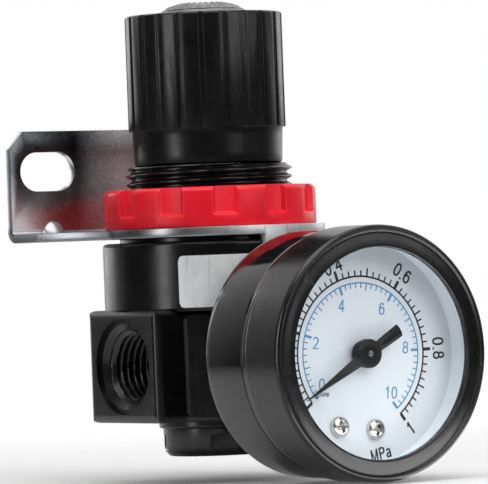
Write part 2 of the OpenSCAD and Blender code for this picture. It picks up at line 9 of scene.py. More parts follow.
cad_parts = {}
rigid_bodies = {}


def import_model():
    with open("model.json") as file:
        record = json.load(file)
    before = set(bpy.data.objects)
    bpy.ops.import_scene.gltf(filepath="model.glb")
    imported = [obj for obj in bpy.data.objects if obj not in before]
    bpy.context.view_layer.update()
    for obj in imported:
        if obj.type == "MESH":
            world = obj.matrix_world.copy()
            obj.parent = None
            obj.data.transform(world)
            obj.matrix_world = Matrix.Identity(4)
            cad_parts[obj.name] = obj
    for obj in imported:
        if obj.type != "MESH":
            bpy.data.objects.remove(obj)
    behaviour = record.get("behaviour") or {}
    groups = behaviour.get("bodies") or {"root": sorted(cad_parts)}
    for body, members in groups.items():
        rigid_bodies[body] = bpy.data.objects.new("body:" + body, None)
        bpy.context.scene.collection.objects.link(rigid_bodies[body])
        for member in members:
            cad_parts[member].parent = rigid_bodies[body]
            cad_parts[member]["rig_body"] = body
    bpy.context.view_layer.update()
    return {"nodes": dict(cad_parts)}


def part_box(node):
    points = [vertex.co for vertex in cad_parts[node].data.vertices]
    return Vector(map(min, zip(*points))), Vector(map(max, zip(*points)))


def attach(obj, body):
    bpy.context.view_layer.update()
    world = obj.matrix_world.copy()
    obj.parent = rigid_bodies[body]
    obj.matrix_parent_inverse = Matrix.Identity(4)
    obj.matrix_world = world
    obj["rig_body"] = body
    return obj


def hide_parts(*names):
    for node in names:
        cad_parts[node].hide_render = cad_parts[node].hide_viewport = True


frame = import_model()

MM = 0.001
NODES = frame["nodes"]

# ---------------------------------------------------------------- the frame's own reference points
lo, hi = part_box("knob")
AX_Y = 0.5 * (lo.y + hi.y)  # the knob's axis
PORT_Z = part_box("bonnet")[1].z - 48.0 * MM  # the ports' centre line
glo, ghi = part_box("gauge_bezel")
G_Z = 0.5 * (glo.z + ghi.z)  # the gauge's axis


def P(x, y, z):
    """A point given in millimetres from the ports' centre, in the row frame."""
    return Vector((x * MM, AX_Y + y * MM, PORT_Z + z * MM))


def G(u, w, d):
    """A point on the gauge: u right and w up from its axis seen from the front, d forwards of the ports' centre."""
    return Vector((u * MM, AX_Y - d * MM, G_Z + w * MM))


def frac(x):
    return x - np.floor(x)


def smooth(x):
    x = np.clip(x, 0, 1)
    return x * x * (3 - 2 * x)


# ---------------------------------------------------------------- mesh helpers
def new_object(name, verts, faces, mat, body, smooth_angle=35.0, mats=None, face_mat=None):
    me = bpy.data.meshes.new(name)
    me.from_pydata([tuple(v) for v in verts], [], [tuple(f) for f in faces])
    me.validate()
    bm = bmesh.new()
    bm.from_mesh(me)
    bmesh.ops.recalc_face_normals(bm, faces=bm.faces)
    bm.to_mesh(me)
    bm.free()
    ob = bpy.data.objects.new(name, me)
    bpy.context.scene.collection.objects.link(ob)
    for m in mats or [mat]:
        me.materials.append(m)
    if face_mat is not None:
        me.polygons.foreach_set("material_index", face_mat)
    shade(me, smooth_angle)
    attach(ob, body)
    return ob


def shade(me, angle):
    """Smooth shading, with edges sharper than angle kept crisp."""
    me.polygons.foreach_set("use_smooth", [True] * len(me.polygons))
    bm = bmesh.new()
    bm.from_mesh(me)
    for e in bm.edges:
        e.smooth = not (len(e.link_faces) == 2 and e.calc_face_angle(0) > math.radians(angle))
    bm.to_mesh(me)
    bm.free()


def ring_solid(name, R, Z, place, mat, body, slot, angle=35.0, closed=True, thetas=None, mats=None, row_mat=None):
    """A solid swept round an axis. Row i is a ring of radii R[i] at heights Z[i]; the rows follow the section's outline, round and closed.
    Where closed is False the first and last rows have shrunk to a point on the axis."""
    R, Z = np.asarray(R, float), np.asarray(Z, float)
    m, n = R.shape
    th = np.linspace(0, 2 * math.pi, n, endpoint=False) if thetas is None else thetas
    X, Y = R * np.cos(th), R * np.sin(th)
    verts, faces, fm = [], [], []
    index = np.zeros((m, n), int)
    for i in range(m):
        if not closed and i in (0, m - 1):
            index[i, :] = len(verts)
            verts.append(place(0.0, 0.0, float(Z[i, 0])))
            continue
        for j in range(n):
            index[i, j] = len(verts)
            verts.append(place(float(X[i, j]), float(Y[i, j]), float(Z[i, j])))
    last = m if closed else m - 1
    for i in range(last):
        a, b = index[i], index[(i + 1) % m]
        for j in range(n):
            k = (j + 1) % n
            f = [a[j], a[k], b[k], b[j]]
            f = [v for t, v in enumerate(f) if v != f[t - 1]]
            if len(f) > 2:
                faces.append(f)
                fm.append(0 if row_mat is None else row_mat(i))
    return new_object(name, verts, faces, mat, body, angle, mats, fm if row_mat else None)


def rounded(points, radius, steps=4):
    """A closed outline with its corners rounded. radius is one number, or one for each corner."""
    out = []
    n = len(points)
    rs = radius if hasattr(radius, "__len__") else [radius] * n
    for i in range(n):
        p, a, b = Vector(points[i]), Vector(points[i - 1]), Vector(points[(i + 1) % n])
        da, db = a - p, b - p
        r = min(rs[i], 0.45 * da.length, 0.45 * db.length)
        if r <= 1e-6:
            out.append(tuple(p))
            continue
        s, e = p + da.normalized() * r, p + db.normalized() * r
        for t in range(steps + 1):
            q = t / steps
            v = s * (1 - q) ** 2 + p * 2 * q * (1 - q) + e * q * q
            out.append((v.x, v.y))
    return out


def lathe(name, outline, place, mat, body, slot, n=192, angle=35.0, radius=0.0, steps=4, **kw):
    pts = rounded(outline, radius, steps) if radius is not None else outline
    R = np.array([[p[0]] * n for p in pts])
    Z = np.array([[p[1]] * n for p in pts])
    return ring_solid(name, R, Z, place, mat, body, slot, angle, **kw)


def disc(name, outline, place, mat, body, slot, n=192, angle=35.0, **kw):
    """A solid of revolution whose outline starts and ends on the axis."""
    R = np.array([[p[0]] * n for p in outline])
    Z = np.array([[p[1]] * n for p in outline])
    return ring_solid(name, R, Z, place, mat, body, slot, angle, closed=False, **kw)


def up_place(x, y, z):
    return P(x, y, z)


def gauge_place(x, y, z):
    """x right, y up, z forwards, in millimetres on the gauge."""
    return G(x, y, z)


def refined(node, name, mat, width=0.15, angle=30.0, keep=None, segments=2, shade_angle=32.0):
    """The CAD node's own shape with its sharp edges broken, as a real part's are."""
    me = NODES[node].data.copy()
    me.name = name
    bm = bmesh.new()
    bm.from_mesh(me)
    bmesh.ops.remove_doubles(bm, verts=bm.verts, dist=3e-6)
    bmesh.ops.dissolve_limit(bm, angle_limit=math.radians(0.4), verts=bm.verts, edges=bm.edges)
    sharp = []
    for e in bm.edges:
        if len(e.link_faces) == 2 and e.calc_face_angle(0) > math.radians(angle):
            c = (e.verts[0].co + e.verts[1].co) / 2
            if keep is None or keep(c):
                sharp.append(e)
    if sharp:
        bmesh.ops.bevel(bm, geom=sharp, offset=width * MM, offset_type="OFFSET", segments=segments, profile=0.5, affect="EDGES", clamp_overlap=False)
    bmesh.ops.triangulate(bm, faces=[f for f in bm.faces if len(f.verts) > 4])
    bm.to_mesh(me)
    bm.free()
    me.materials.clear()
    me.materials.append(mat)
    ob = bpy.data.objects.new(name, me)
    bpy.context.scene.collection.objects.link(ob)
    shade(me, shade_angle)
    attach(ob, body_of(node))
    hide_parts(node)
    return ob


def body_of(node):
    return NODES[node]["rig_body"]


# ---------------------------------------------------------------- materials
class Mat:
    """A procedural material put together from a few node chains in object space, in millimetres."""

    def __init__(self, name):
        self.m = bpy.data.materials.new(name)
        self.m.use_nodes = True
        self.t = self.m.node_tree
        self.b = self.t.nodes["Principled BSDF"]
        self.co = self.t.nodes.new("ShaderNodeTexCoord").outputs["Object"]
        self.bumps = []

    def set(self, **kw):
        names = {
            "rough": "Roughness", "metal": "Metallic", "ior": "IOR", "coat": "Coat Weight", "coat_rough": "Coat Roughness",
            "spec": "Specular IOR Level", "aniso": "Anisotropic", "sheen": "Sheen Weight", "trans": "Transmission Weight",
            "sss": "Subsurface Weight",
        }
        for k, v in kw.items():
            self.b.inputs[names[k]].default_value = v
        return self

    def space(self, scale=(1, 1, 1), rot=(0, 0, 0)):
        n = self.t.nodes.new("ShaderNodeMapping")
        n.inputs["Scale"].default_value = [1000.0 * s for s in scale]
        n.inputs["Rotation"].default_value = rot
        self.t.links.new(self.co, n.inputs["Vector"])
        return n.outputs["Vector"]

    def noise(self, scale, detail=4.0, rough=0.5, stretch=(1, 1, 1), rot=(0, 0, 0), distort=0.0):
        n = self.t.nodes.new("ShaderNodeTexNoise")
        n.inputs["Scale"].default_value = scale
        n.inputs["Detail"].default_value = detail
        n.inputs["Roughness"].default_value = rough
        n.inputs["Distortion"].default_value = distort
        self.t.links.new(self.space(stretch, rot), n.inputs["Vector"])
        return n.outputs["Fac"]

    def voronoi(self, scale, stretch=(1, 1, 1), out="Color", rot=(0, 0, 0)):
        n = self.t.nodes.new("ShaderNodeTexVoronoi")
        n.inputs["Scale"].default_value = scale
        self.t.links.new(self.space(stretch, rot), n.inputs["Vector"])
        return n.outputs[out]

    def edges(self, lo=0.52, hi=0.62):
        n = self.t.nodes.new("ShaderNodeNewGeometry")
        return self.ramp(n.outputs["Pointiness"], lo, hi, 0.0, 1.0)

    def ramp(self, src, a, b, c=0.0, d=1.0):
        n = self.t.nodes.new("ShaderNodeMapRange")
        n.inputs["From Min"].default_value = a
        n.inputs["From Max"].default_value = b
        n.inputs["To Min"].default_value = c
        n.inputs["To Max"].default_value = d
        self.t.links.new(src, n.inputs["Value"])
        return n.outputs["Result"]

    def math(self, op, a, b=None):
        n = self.t.nodes.new("ShaderNodeMath")
        n.operation = op
        for i, v in enumerate((a, b)):
            if v is None:
                continue
            if isinstance(v, (int, float)):
                n.inputs[i].default_value = v
            else:
                self.t.links.new(v, n.inputs[i])
        return n.outputs["Value"]

    def mix(self, fac, a, b, mode="MIX"):
        n = self.t.nodes.new("ShaderNodeMix")
        n.data_type = "RGBA"
        n.blend_type = mode
        for i, v in ((0, fac), (6, a), (7, b)):
            if isinstance(v, (int, float)):
                n.inputs[i].default_value = v
            elif isinstance(v, (tuple, list)):
                n.inputs[i].default_value = (*v, 1.0)
            else:
                self.t.links.new(v, n.inputs[i])
        return n.outputs[2]

    def color(self, src):
        if isinstance(src, tuple):
            self.b.inputs["Base Color"].default_value = (*src, 1.0)
        else:
            self.t.links.new(src, self.b.inputs["Base Color"])
        return self

    def rough(self, src):
        self.t.links.new(src, self.b.inputs["Roughness"])
        return self

    def bump(self, src, depth_mm, strength=1.0):
        n = self.t.nodes.new("ShaderNodeBump")
        n.inputs["Strength"].default_value = strength
        n.inputs["Distance"].default_value = depth_mm * MM
        self.t.links.new(src, n.inputs["Height"])
        if self.bumps:
            self.t.links.new(self.bumps[-1], n.inputs["Normal"])
        self.bumps.append(n.outputs["Normal"])
        self.t.links.new(n.outputs["Normal"], self.b.inputs["Normal"])
        return self


def polymer(name, dark, light, r0, r1, grain=0.012, spec=0.5, coat=0.0, lint=0.25, wear=None, wear_col=None):
    """Moulded plastic: two close tones in slow clouds, a fine eroded grain, faint lint and rubbed edges."""
    m = Mat(name).set(spec=spec, coat=coat, coat_rough=0.12)
    clouds = m.ramp(m.noise(0.11, 5, 0.55), 0.32, 0.68)
    col = m.mix(clouds, dark, light)
    specks = m.ramp(m.noise(2.6, 2, 0.5), 0.735, 0.76)
    col = m.mix(m.math("MULTIPLY", specks, lint), col, tuple(min(1.0, c + 0.16) for c in light))
    if wear:
        e = m.math("MULTIPLY", m.edges(*wear), m.ramp(m.noise(0.9, 4, 0.6), 0.35, 0.62))
        col = m.mix(m.math("MULTIPLY", e, 0.6), col, wear_col)
    m.color(col)
    m.rough(m.ramp(m.noise(0.35, 6, 0.6), 0.3, 0.7, r0, r1))
    m.bump(m.noise(3.4, 3, 0.55), grain)
    m.bump(m.noise(0.16, 2, 0.4), grain * 2.2)
    return m.m


def metal(name, a, b, r0, r1, grain=0.006, brush=None, scale=0.4, aniso=0.0):
    """Plated or turned metal with cloudy tone, drawn lines and small dents."""
    m = Mat(name).set(metal=1.0, aniso=aniso)
    m.color(m.mix(m.ramp(m.noise(scale, 6, 0.6), 0.3, 0.7), a, b))
    m.rough(m.ramp(m.noise(scale * 2.2, 5, 0.6), 0.3, 0.7, r0, r1))
    m.bump(m.noise(2.2, 3, 0.5), grain)
    if brush:
        m.bump(m.noise(1.5, 4, 0.6, stretch=brush), grain * 0.8)
    return m.m


def rubber(name, a, b):
    m = Mat(name).set(spec=0.35, sheen=0.08)
    m.color(m.mix(m.ramp(m.noise(0.6, 5, 0.6), 0.3, 0.7), a, b))
    m.rough(m.ramp(m.noise(1.2, 4, 0.5), 0.3, 0.7, 0.55, 0.78))
    m.bump(m.noise(4.5, 3, 0.5), 0.02)
    return m.m


M = {}
M["body"] = polymer("satin_black_body", (0.0028, 0.0028, 0.0032), (0.0056, 0.0056, 0.0062), 0.19, 0.29, 0.007, 0.5, 0.0, 0.3, (0.53, 0.60), (0.035, 0.035, 0.037))
# the fillet strips are about ten times lighter than the body: a painted highlight for the light caught along the
# fillets
M["fillet"] = polymer("fillet_painted_highlight", (0.030, 0.030, 0.031), (0.060, 0.060, 0.062), 0.14, 0.22, 0.005)
M["bonnet"] = polymer("black_acetal_bonnet", (0.0024, 0.0024, 0.0028), (0.0046, 0.0046, 0.0052), 0.19, 0.28, 0.006, 0.5, 0.0, 0.3)
M["knob"] = polymer("black_knob_plastic", (0.0030, 0.0031, 0.0037), (0.0060, 0.0062, 0.0072), 0.25, 0.34, 0.005, 0.5, 0.0, 0.35, (0.54, 0.62), (0.05, 0.05, 0.055))
M["knob_cap"] = polymer("knob_crown_plastic", (0.13, 0.13, 0.135), (0.21, 0.21, 0.215), 0.22, 0.32, 0.006, 0.55, 0.2, 0.3)
M["bottom_plug"] = polymer("black_plug", (0.0026, 0.0026, 0.0030), (0.0056, 0.0056, 0.0062), 0.20, 0.30, 0.010, 0.5, 0.0, 0.3, (0.53, 0.60), (0.045, 0.045, 0.048))
M["port_thread"] = polymer("port_thread_black", (0.0034, 0.0034, 0.0038), (0.0070, 0.0070, 0.0076), 0.24, 0.36, 0.006)

red = Mat("red_nut_plastic").set(spec=0.32, sss=0.0)
rc = red.mix(red.ramp(red.noise(0.16, 5, 0.55), 0.32, 0.68), (0.735, 0.0085, 0.020), (0.885, 0.0135, 0.032))
# paler pink on sharp edges, broken up by noise: partly rubbed wear, partly a painted edge highlight
re = red.math("MULTIPLY", red.edges(0.53, 0.62), red.ramp(red.noise(1.1, 4, 0.6), 0.3, 0.6))
rc = red.mix(red.math("MULTIPLY", re, 0.45), rc, (0.86, 0.18, 0.20))
red.color(rc).rough(red.ramp(red.noise(0.5, 6, 0.6), 0.3, 0.7, 0.30, 0.42))
red.bump(red.noise(2.6, 4, 0.6), 0.016).bump(red.noise(0.22, 2, 0.4), 0.03)
M["panel_nut"] = red.m

zinc = Mat("zinc_plated_steel").set(spec=0.5)
zx = zinc.t.nodes.new("ShaderNodeSeparateXYZ")
zinc.t.links.new(zinc.space(), zx.inputs["Vector"])
# lighter, hazier and less metallic zinc towards the knob tube (|x| under 15 mm, weaker low down): a painted glow for
# light reflected onto the plate there, mixed with random clouds and grain
painted_glow_near_tube = zinc.ramp(zinc.math("ABSOLUTE", zx.outputs["X"]), 15.0, 5.0)
low = zinc.ramp(zx.outputs["Z"], 0.5, -6.0)
grain = zinc.ramp(zinc.noise(2.1, 3, 0.6), 0.30, 0.70, -1.0, 1.0)
clouds = zinc.ramp(zinc.noise(0.10, 6, 0.6, distort=0.4), 0.33, 0.67)
painted_glow_and_mottle = zinc.math("MULTIPLY", painted_glow_near_tube, zinc.math("SUBTRACT", 1.0, zinc.math("MULTIPLY", low, 0.45)))
painted_glow_and_mottle = zinc.math("ADD", zinc.math("MULTIPLY", painted_glow_and_mottle, 0.90), zinc.math("MULTIPLY", clouds, 0.12))
painted_glow_and_mottle = zinc.math("ADD", painted_glow_and_mottle, zinc.math("MULTIPLY", grain, zinc.math("ADD", 0.035, zinc.math("MULTIPLY", painted_glow_and_mottle, 0.14))))
# tone by height: dark blue-grey on the upper plate and a lighter warm grey low down, which are painted shade above and
# a painted reflection of the red nut below
base = zinc.mix(low, (0.080, 0.087, 0.104), (0.37, 0.34, 0.36))
# below z -10.6 the lowest band takes a mid blue-grey
base = zinc.mix(zinc.ramp(zx.outputs["Z"], -10.6, -11.2), base, (0.30, 0.315, 0.34))
tcn = zinc.t.nodes.new("ShaderNodeTexCoord")
nx = zinc.t.nodes.new("ShaderNodeSeparateXYZ")
zinc.t.links.new(tcn.outputs["Normal"], nx.inputs["Vector"])
# cut edges that face sideways and lie above z -10 are made near white: a painted highlight on the sheared edges
cut = zinc.ramp(zinc.math("ABSOLUTE", nx.outputs["X"]), 0.50, 0.66)
cut = zinc.math("MULTIPLY", cut, zinc.ramp(zx.outputs["Z"], -10.6, -9.8))
base = zinc.mix(cut, base, (0.80, 0.815, 0.84))
# where the painted glow is strong the colour goes to near white, rougher and less metallic
zc = zinc.mix(painted_glow_and_mottle, base, (0.92, 0.93, 0.94))
zinc.color(zc).rough(zinc.ramp(painted_glow_and_mottle, 0.0, 1.0, 0.27, 0.50))
zinc.t.links.new(zinc.ramp(painted_glow_and_mottle, 0.05, 0.85, 0.97, 0.10), zinc.b.inputs["Metallic"])
zinc.bump(zinc.noise(1.9, 3, 0.55), 0.006).bump(zinc.noise(0.12, 2, 0.4), 0.03)
M["mounting_bracket"] = zinc.m

lab = Mat("label_foil").set(metal=0.35, spec=0.5)
ls = lab.ramp(lab.noise(0.22, 4, 0.5, stretch=(1.2, 1.2, 0.45), rot=(0.5, 0.3, 0.6), distort=0.5), 0.36, 0.62)
lc = lab.mix(ls, (0.74, 0.75, 0.77), (0.96, 0.965, 0.975))
streak = lab.ramp(lab.noise(0.5, 3, 0.5, stretch=(2.0, 2.0, 0.25), rot=(0.0, 0.6, 0.4)), 0.60, 0.66)
lc = lab.mix(lab.math("MULTIPLY", streak, 0.30), lc, (0.42, 0.43, 0.46))
lab.color(lc).rough(lab.ramp(lab.noise(0.5, 5, 0.6), 0.3, 0.7, 0.30, 0.46))
lab.bump(lab.noise(0.35, 4, 0.5), 0.03).bump(lab.noise(5.0, 2, 0.5), 0.004)
M["label_sticker"] = lab.m

case = Mat("gloss_black_enamel").set(spec=0.5, coat=0.35, coat_rough=0.06)
cc = case.mix(case.ramp(case.noise(0.09, 5, 0.55), 0.32, 0.68), (0.0022, 0.0022, 0.0026), (0.0050, 0.0050, 0.0056))
cs = case.ramp(case.noise(2.2, 2, 0.5), 0.745, 0.765)
cc = case.mix(case.math("MULTIPLY", cs, 0.3), cc, (0.16, 0.16, 0.165))
case.color(cc).rough(case.ramp(case.noise(0.3, 6, 0.6), 0.3, 0.7, 0.07, 0.13))
case.bump(case.noise(0.55, 3, 0.5), 0.022).bump(case.noise(3.0, 2, 0.5), 0.003)
M["gauge_case"] = case.m
bez = Mat("black_bezel_enamel").set(spec=0.5, coat=0.15, coat_rough=0.12)
bc = bez.mix(bez.ramp(bez.noise(0.10, 5, 0.55), 0.32, 0.68), (0.0028, 0.0028, 0.0032), (0.0060, 0.0060, 0.0066))
bs = bez.ramp(bez.noise(2.4, 2, 0.5), 0.74, 0.76)
bc = bez.mix(bez.math("MULTIPLY", bs, 0.3), bc, (0.17, 0.17, 0.175))
be = bez.math("MULTIPLY", bez.edges(0.53, 0.60), bez.ramp(bez.noise(0.8, 4, 0.6), 0.4, 0.62))
bc = bez.mix(bez.math("MULTIPLY", be, 0.35), bc, (0.10, 0.10, 0.105))
bez.color(bc).rough(bez.ramp(bez.noise(0.3, 6, 0.6), 0.3, 0.7, 0.20, 0.30))
bez.bump(bez.noise(0.6, 3, 0.5), 0.016).bump(bez.noise(3.4, 2, 0.5), 0.004)
M["gauge_bezel"] = bez.m

dial = Mat("dial_white_enamel").set(spec=0.35)
dc = dial.mix(dial.ramp(dial.noise(0.07, 4, 0.5), 0.34, 0.66), (0.585, 0.605, 0.635), (0.645, 0.660, 0.680))
ds = dial.ramp(dial.noise(1.5, 2, 0.5), 0.735, 0.755)
dc = dial.mix(dial.math("MULTIPLY", ds, 0.35), dc, (0.45, 0.48, 0.53))
dial.color(dc).rough(dial.ramp(dial.noise(0.5, 5, 0.6), 0.3, 0.7, 0.42, 0.56))
dial.bump(dial.noise(3.2, 3, 0.5), 0.004).bump(dial.noise(0.2, 2, 0.4), 0.02)
M["dial_plate"] = dial.m
wall = Mat("dial_wall_white").set(spec=0.35)
wall.color(wall.mix(wall.ramp(wall.noise(0.1, 4, 0.5), 0.34, 0.66), (0.80, 0.84, 0.89), (0.88, 0.905, 0.94)))
wall.rough(wall.ramp(wall.noise(0.6, 5, 0.6), 0.3, 0.7, 0.40, 0.52))
wall.bump(wall.noise(2.8, 3, 0.5), 0.005)
M["dial_ring"] = wall.m


def ink(name, a, b):
    m = Mat(name).set(spec=0.4)
    m.color(m.mix(m.ramp(m.noise(1.8, 4, 0.6), 0.35, 0.7), a, b))
    m.rough(m.ramp(m.noise(2.0, 4, 0.6), 0.3, 0.7, 0.38, 0.52))
    m.bump(m.noise(6.0, 2, 0.5), 0.002)
    return m.m


M["ink_black"] = ink("ink_black", (0.003, 0.0035, 0.005), (0.012, 0.013, 0.017))
M["ink_blue"] = ink("ink_blue", (0.040, 0.200, 0.38), (0.075, 0.260, 0.45))

needle = Mat("needle_black_paint").set(spec=0.22)
nc = needle.mix(needle.ramp(needle.noise(0.5, 4, 0.6), 0.3, 0.7), (0.0040, 0.0040, 0.0043), (0.010, 0.010, 0.0105))
ne = needle.ramp(needle.noise(2.0, 3, 0.5), 0.70, 0.73)
nc = needle.mix(needle.math("MULTIPLY", ne, 0.4), nc, (0.20, 0.20, 0.20))
needle.color(nc).rough(needle.ramp(needle.noise(1.2, 5, 0.6), 0.3, 0.7, 0.30, 0.44))
needle.bump(needle.noise(5.0, 3, 0.5), 0.008)
M["pointer"] = needle.m

M["nickel"] = metal("nickel_screw", (0.56, 0.53, 0.48), (0.78, 0.75, 0.70), 0.14, 0.28, 0.008, None, 0.8)
M["steel"] = metal("bright_steel", (0.52, 0.53, 0.55), (0.72, 0.73, 0.75), 0.20, 0.34, 0.006, (0.3, 3, 3))
M["spring"] = metal("spring_steel", (0.38, 0.39, 0.42), (0.60, 0.61, 0.63), 0.24, 0.38, 0.006, None, 0.6)
M["brass"] = metal("turned_brass", (0.62, 0.42, 0.17), (0.78, 0.57, 0.27), 0.20, 0.36, 0.006, (0.3, 3, 3))
M["bronze"] = metal("bronze_tube", (0.52, 0.30, 0.14), (0.68, 0.43, 0.22), 0.26, 0.42, 0.006)
M["zinc_washer"] = metal("zinc_washer", (0.50, 0.52, 0.55), (0.74, 0.76, 0.79), 0.26, 0.42, 0.008)
M["plug_steel"] = metal("blackened_plug", (0.10, 0.10, 0.11), (0.20, 0.20, 0.22), 0.34, 0.50, 0.012)
M["rubber"] = rubber("nitrile_rubber", (0.012, 0.012, 0.013), (0.024, 0.024, 0.026))
M["diaphragm"] = rubber("diaphragm_rubber", (0.014, 0.013, 0.013), (0.030, 0.028, 0.027))

# the window: clear plastic that lets the lamps through
glass = bpy.data.materials.new("clear_window")
glass.use_nodes = True
gt = glass.node_tree
gb = gt.nodes["Principled BSDF"]
gb.inputs["Base Color"].default_value = (0.965, 0.985, 1.0, 1.0)
gb.inputs["Transmission Weight"].default_value = 1.0
gb.inputs["IOR"].default_value = 1.46
gco = gt.nodes.new("ShaderNodeTexCoord")
gmap = gt.nodes.new("ShaderNodeMapping")
gmap.inputs["Scale"].default_value = (1000, 1000, 1000)
gt.links.new(gco.outputs["Object"], gmap.inputs["Vector"])
gno = gt.nodes.new("ShaderNodeTexNoise")
gno.inputs["Scale"].default_value = 0.9
gno.inputs["Detail"].default_value = 4
gt.links.new(gmap.outputs["Vector"], gno.inputs["Vector"])
gr = gt.nodes.new("ShaderNodeMapRange")
gr.inputs["From Min"].default_value = 0.55
gr.inputs["From Max"].default_value = 0.75
gr.inputs["To Min"].default_value = 0.0
gr.inputs["To Max"].default_value = 0.035
gt.links.new(gno.outputs["Fac"], gr.inputs["Value"])
gt.links.new(gr.outputs["Result"], gb.inputs["Roughness"])
glp = gt.nodes.new("ShaderNodeLightPath")
gtr = gt.nodes.new("ShaderNodeBsdfTransparent")
gtr.inputs["Color"].default_value = (0.95, 0.97, 0.985, 1.0)
gmx = gt.nodes.new("ShaderNodeMixShader")
gt.links.new(glp.outputs["Is Shadow Ray"], gmx.inputs["Fac"])
gt.links.new(gb.outputs["BSDF"], gmx.inputs[1])
gt.links.new(gtr.outputs["BSDF"], gmx.inputs[2])
gt.links.new(gmx.outputs["Shader"], gt.nodes["Material Output"].inputs["Surface"])
M["gauge_lens"] = glass

for node, key in {
    "body": "body", "bonnet": "bonnet", "panel_nut": "panel_nut", "mounting_bracket": "mounting_bracket",
    "label_sticker": "label_sticker", "knob": "knob", "knob_cap": "knob_cap", "adjusting_screw": "steel",
    "screw_clip": "spring", "adjusting_nut": "brass", "main_spring": "spring", "spring_washer": "zinc_washer",
    "diaphragm": "diaphragm", "diaphragm_hub": "brass", "diaphragm_nut": "brass", "valve_stem": "brass",
    "valve_seal": "rubber", "valve_spring": "spring", "stem_o_ring": "rubber", "bottom_plug": "bottom_plug",
    "plug_o_ring": "rubber", "rear_port_plug": "plug_steel", "gauge_socket": "brass", "gauge_case": "gauge_case",
    "gauge_bezel": "gauge_bezel", "gauge_lens": "gauge_lens", "lens_gasket": "rubber", "dial_ring": "dial_ring",
    "dial_plate": "dial_plate", "dial_screws": "nickel", "stop_pin": "steel", "pointer": "pointer",
    "pinion_shaft": "steel", "sector_gear": "brass", "tip_link": "brass", "bourdon_tube": "bronze",
    "tube_tip": "brass", "movement_plates": "brass", "movement_screws": "steel",
}.items():
    me = NODES[node].data
    me.materials.clear()
    me.materials.append(M[key])

# ---------------------------------------------------------------- bonnet: a real helical mounting thread
N = 288
th = np.linspace(0, 2 * math.pi, N, endpoint=False)
PITCH, CREST, ROOT, TOP = 1.5, 14.85, 13.93, 35.2
Z_NUT0, Z_NUT1 = 24.15, 31.25


def thread_r(z, theta):
    """Radius of the mounting thread: truncated crests, rounded roots, chamfered start, run-out below the flange."""
    right = math.radians(-34.15)
    f = frac((z - 34.35) / PITCH - (theta - right) / (2 * math.pi))
    d = np.minimum(f, 1 - f) * 2  # 0 on the crest, 1 in the root
    h = 1 - smooth(np.clip((d - 0.13) / 0.72, 0, 1)) * 0.35 - np.clip((d - 0.13) / 0.72, 0, 1) * 0.65
    r = ROOT + (CREST - ROOT) * h
    top = CREST + 0.02 - np.clip(z - (TOP - 0.62), 0, 1) * 1.0
    r = np.minimum(r, top)
    start = smooth((z - 22.9) / 0.9)
    return ROOT * (1 - start) + np.maximum(r, ROOT) * start


rows_r, rows_z = [], []


def row(r, z):
    rows_r.append(r if hasattr(r, "__len__") else np.full(N, float(r)))
    rows_z.append(z if hasattr(z, "__len__") else np.full(N, float(z)))


row(14.05, 14.4)
row(16.2, 14.4)
row(16.4, 14.6)
row(16.4, 22.4)
row(16.25, 22.55)
row(14.05, 22.55)
for z in np.arange(22.7, TOP - 0.01, 0.095):
    row(thread_r(z, th), z)
row(thread_r(TOP - 0.02, th), TOP)
row(13.3, TOP + 0.02)
row(11.55, TOP + 0.02)
row(11.34, TOP + 0.18)
row(11.3, TOP + 0.5)
rib = np.abs((frac(th * 24 / (2 * math.pi) + 0.5) - 0.5)) * 15.0 * math.pi / 180 * 11.3
ribs = 11.3 + 0.25 * smooth((0.62 - rib) / 0.16)
for z, k in ((43.45, 0), (43.62, 1), (45.9, 1), (46.05, 0)):
    row(11.3 * (1 - k) + ribs * k, z)
row(11.3, 47.8)
row(11.1, 48.0)
row(4.4, 48.0)
row(4.2, 47.8)
row(4.2, 46.0)
# bore, with two keyways for the spring nut's ears
key = np.abs(np.sin(th)) * 9.9
key = np.where(key < 2.6, key, 9)
slotk = smooth((1.75 - key) / 0.2)
row(9.6, 45.98)
for z, k in ((45.7, 0), (45.6, 1), (30.1, 1), (30.0, 0)):
    row(9.6 + 0.9 * slotk * k, z)
row(9.6, 18.9)
row(9.9, 18.5)
row(13.7, 18.5)
row(13.95, 18.2)
row(13.95, 14.6)
bonnet = ring_solid("bonnet_threaded", np.array(rows_r), np.array(rows_z), up_place, M["bonnet"], "housing", "bonnet", 32)
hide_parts("bonnet")

# ---------------------------------------------------------------- the threads cut in both gas ports
PT, PMAJ, PMIN = 1.337, 6.555, 5.74
NP = 192
pt = np.linspace(0, 2 * math.pi, NP, endpoint=False)
for side, nm in ((-1, "inlet_thread"), (1, "outlet_thread")):
    R_, Z_ = [], []
    for u in (1.64, 10.5):
        pass
    depths = np.arange(1.66, 10.52, 0.085)
    R_.append(np.full(NP, 6.572)), Z_.append(np.full(NP, 10.52))
    R_.append(np.full(NP, 6.572)), Z_.append(np.full(NP, 1.62))
    for u in depths:
        f = frac(u / PT - pt / (2 * math.pi) + 0.2)
        d = np.minimum(f, 1 - f) * 2
        h = 1 - np.clip((d - 0.12) / 0.76, 0, 1)
        r = PMAJ - (PMAJ - PMIN) * h
        mouth = PMAJ - np.clip((u - 1.66) / 0.95, 0, 1) * (PMAJ - PMIN)
        r = np.maximum(r, mouth)
        r = np.where(u > 10.3, np.maximum(r, PMAJ - 0.3), r)
        R_.append(r), Z_.append(np.full(NP, u))
    hx = 20.0

    def place(x, y, z, s=side):
        return P(s * (hx - z), x, y)

    t = ring_solid(nm, np.array(R_), np.array(Z_), place, M["port_thread"], "housing", "body", 40)

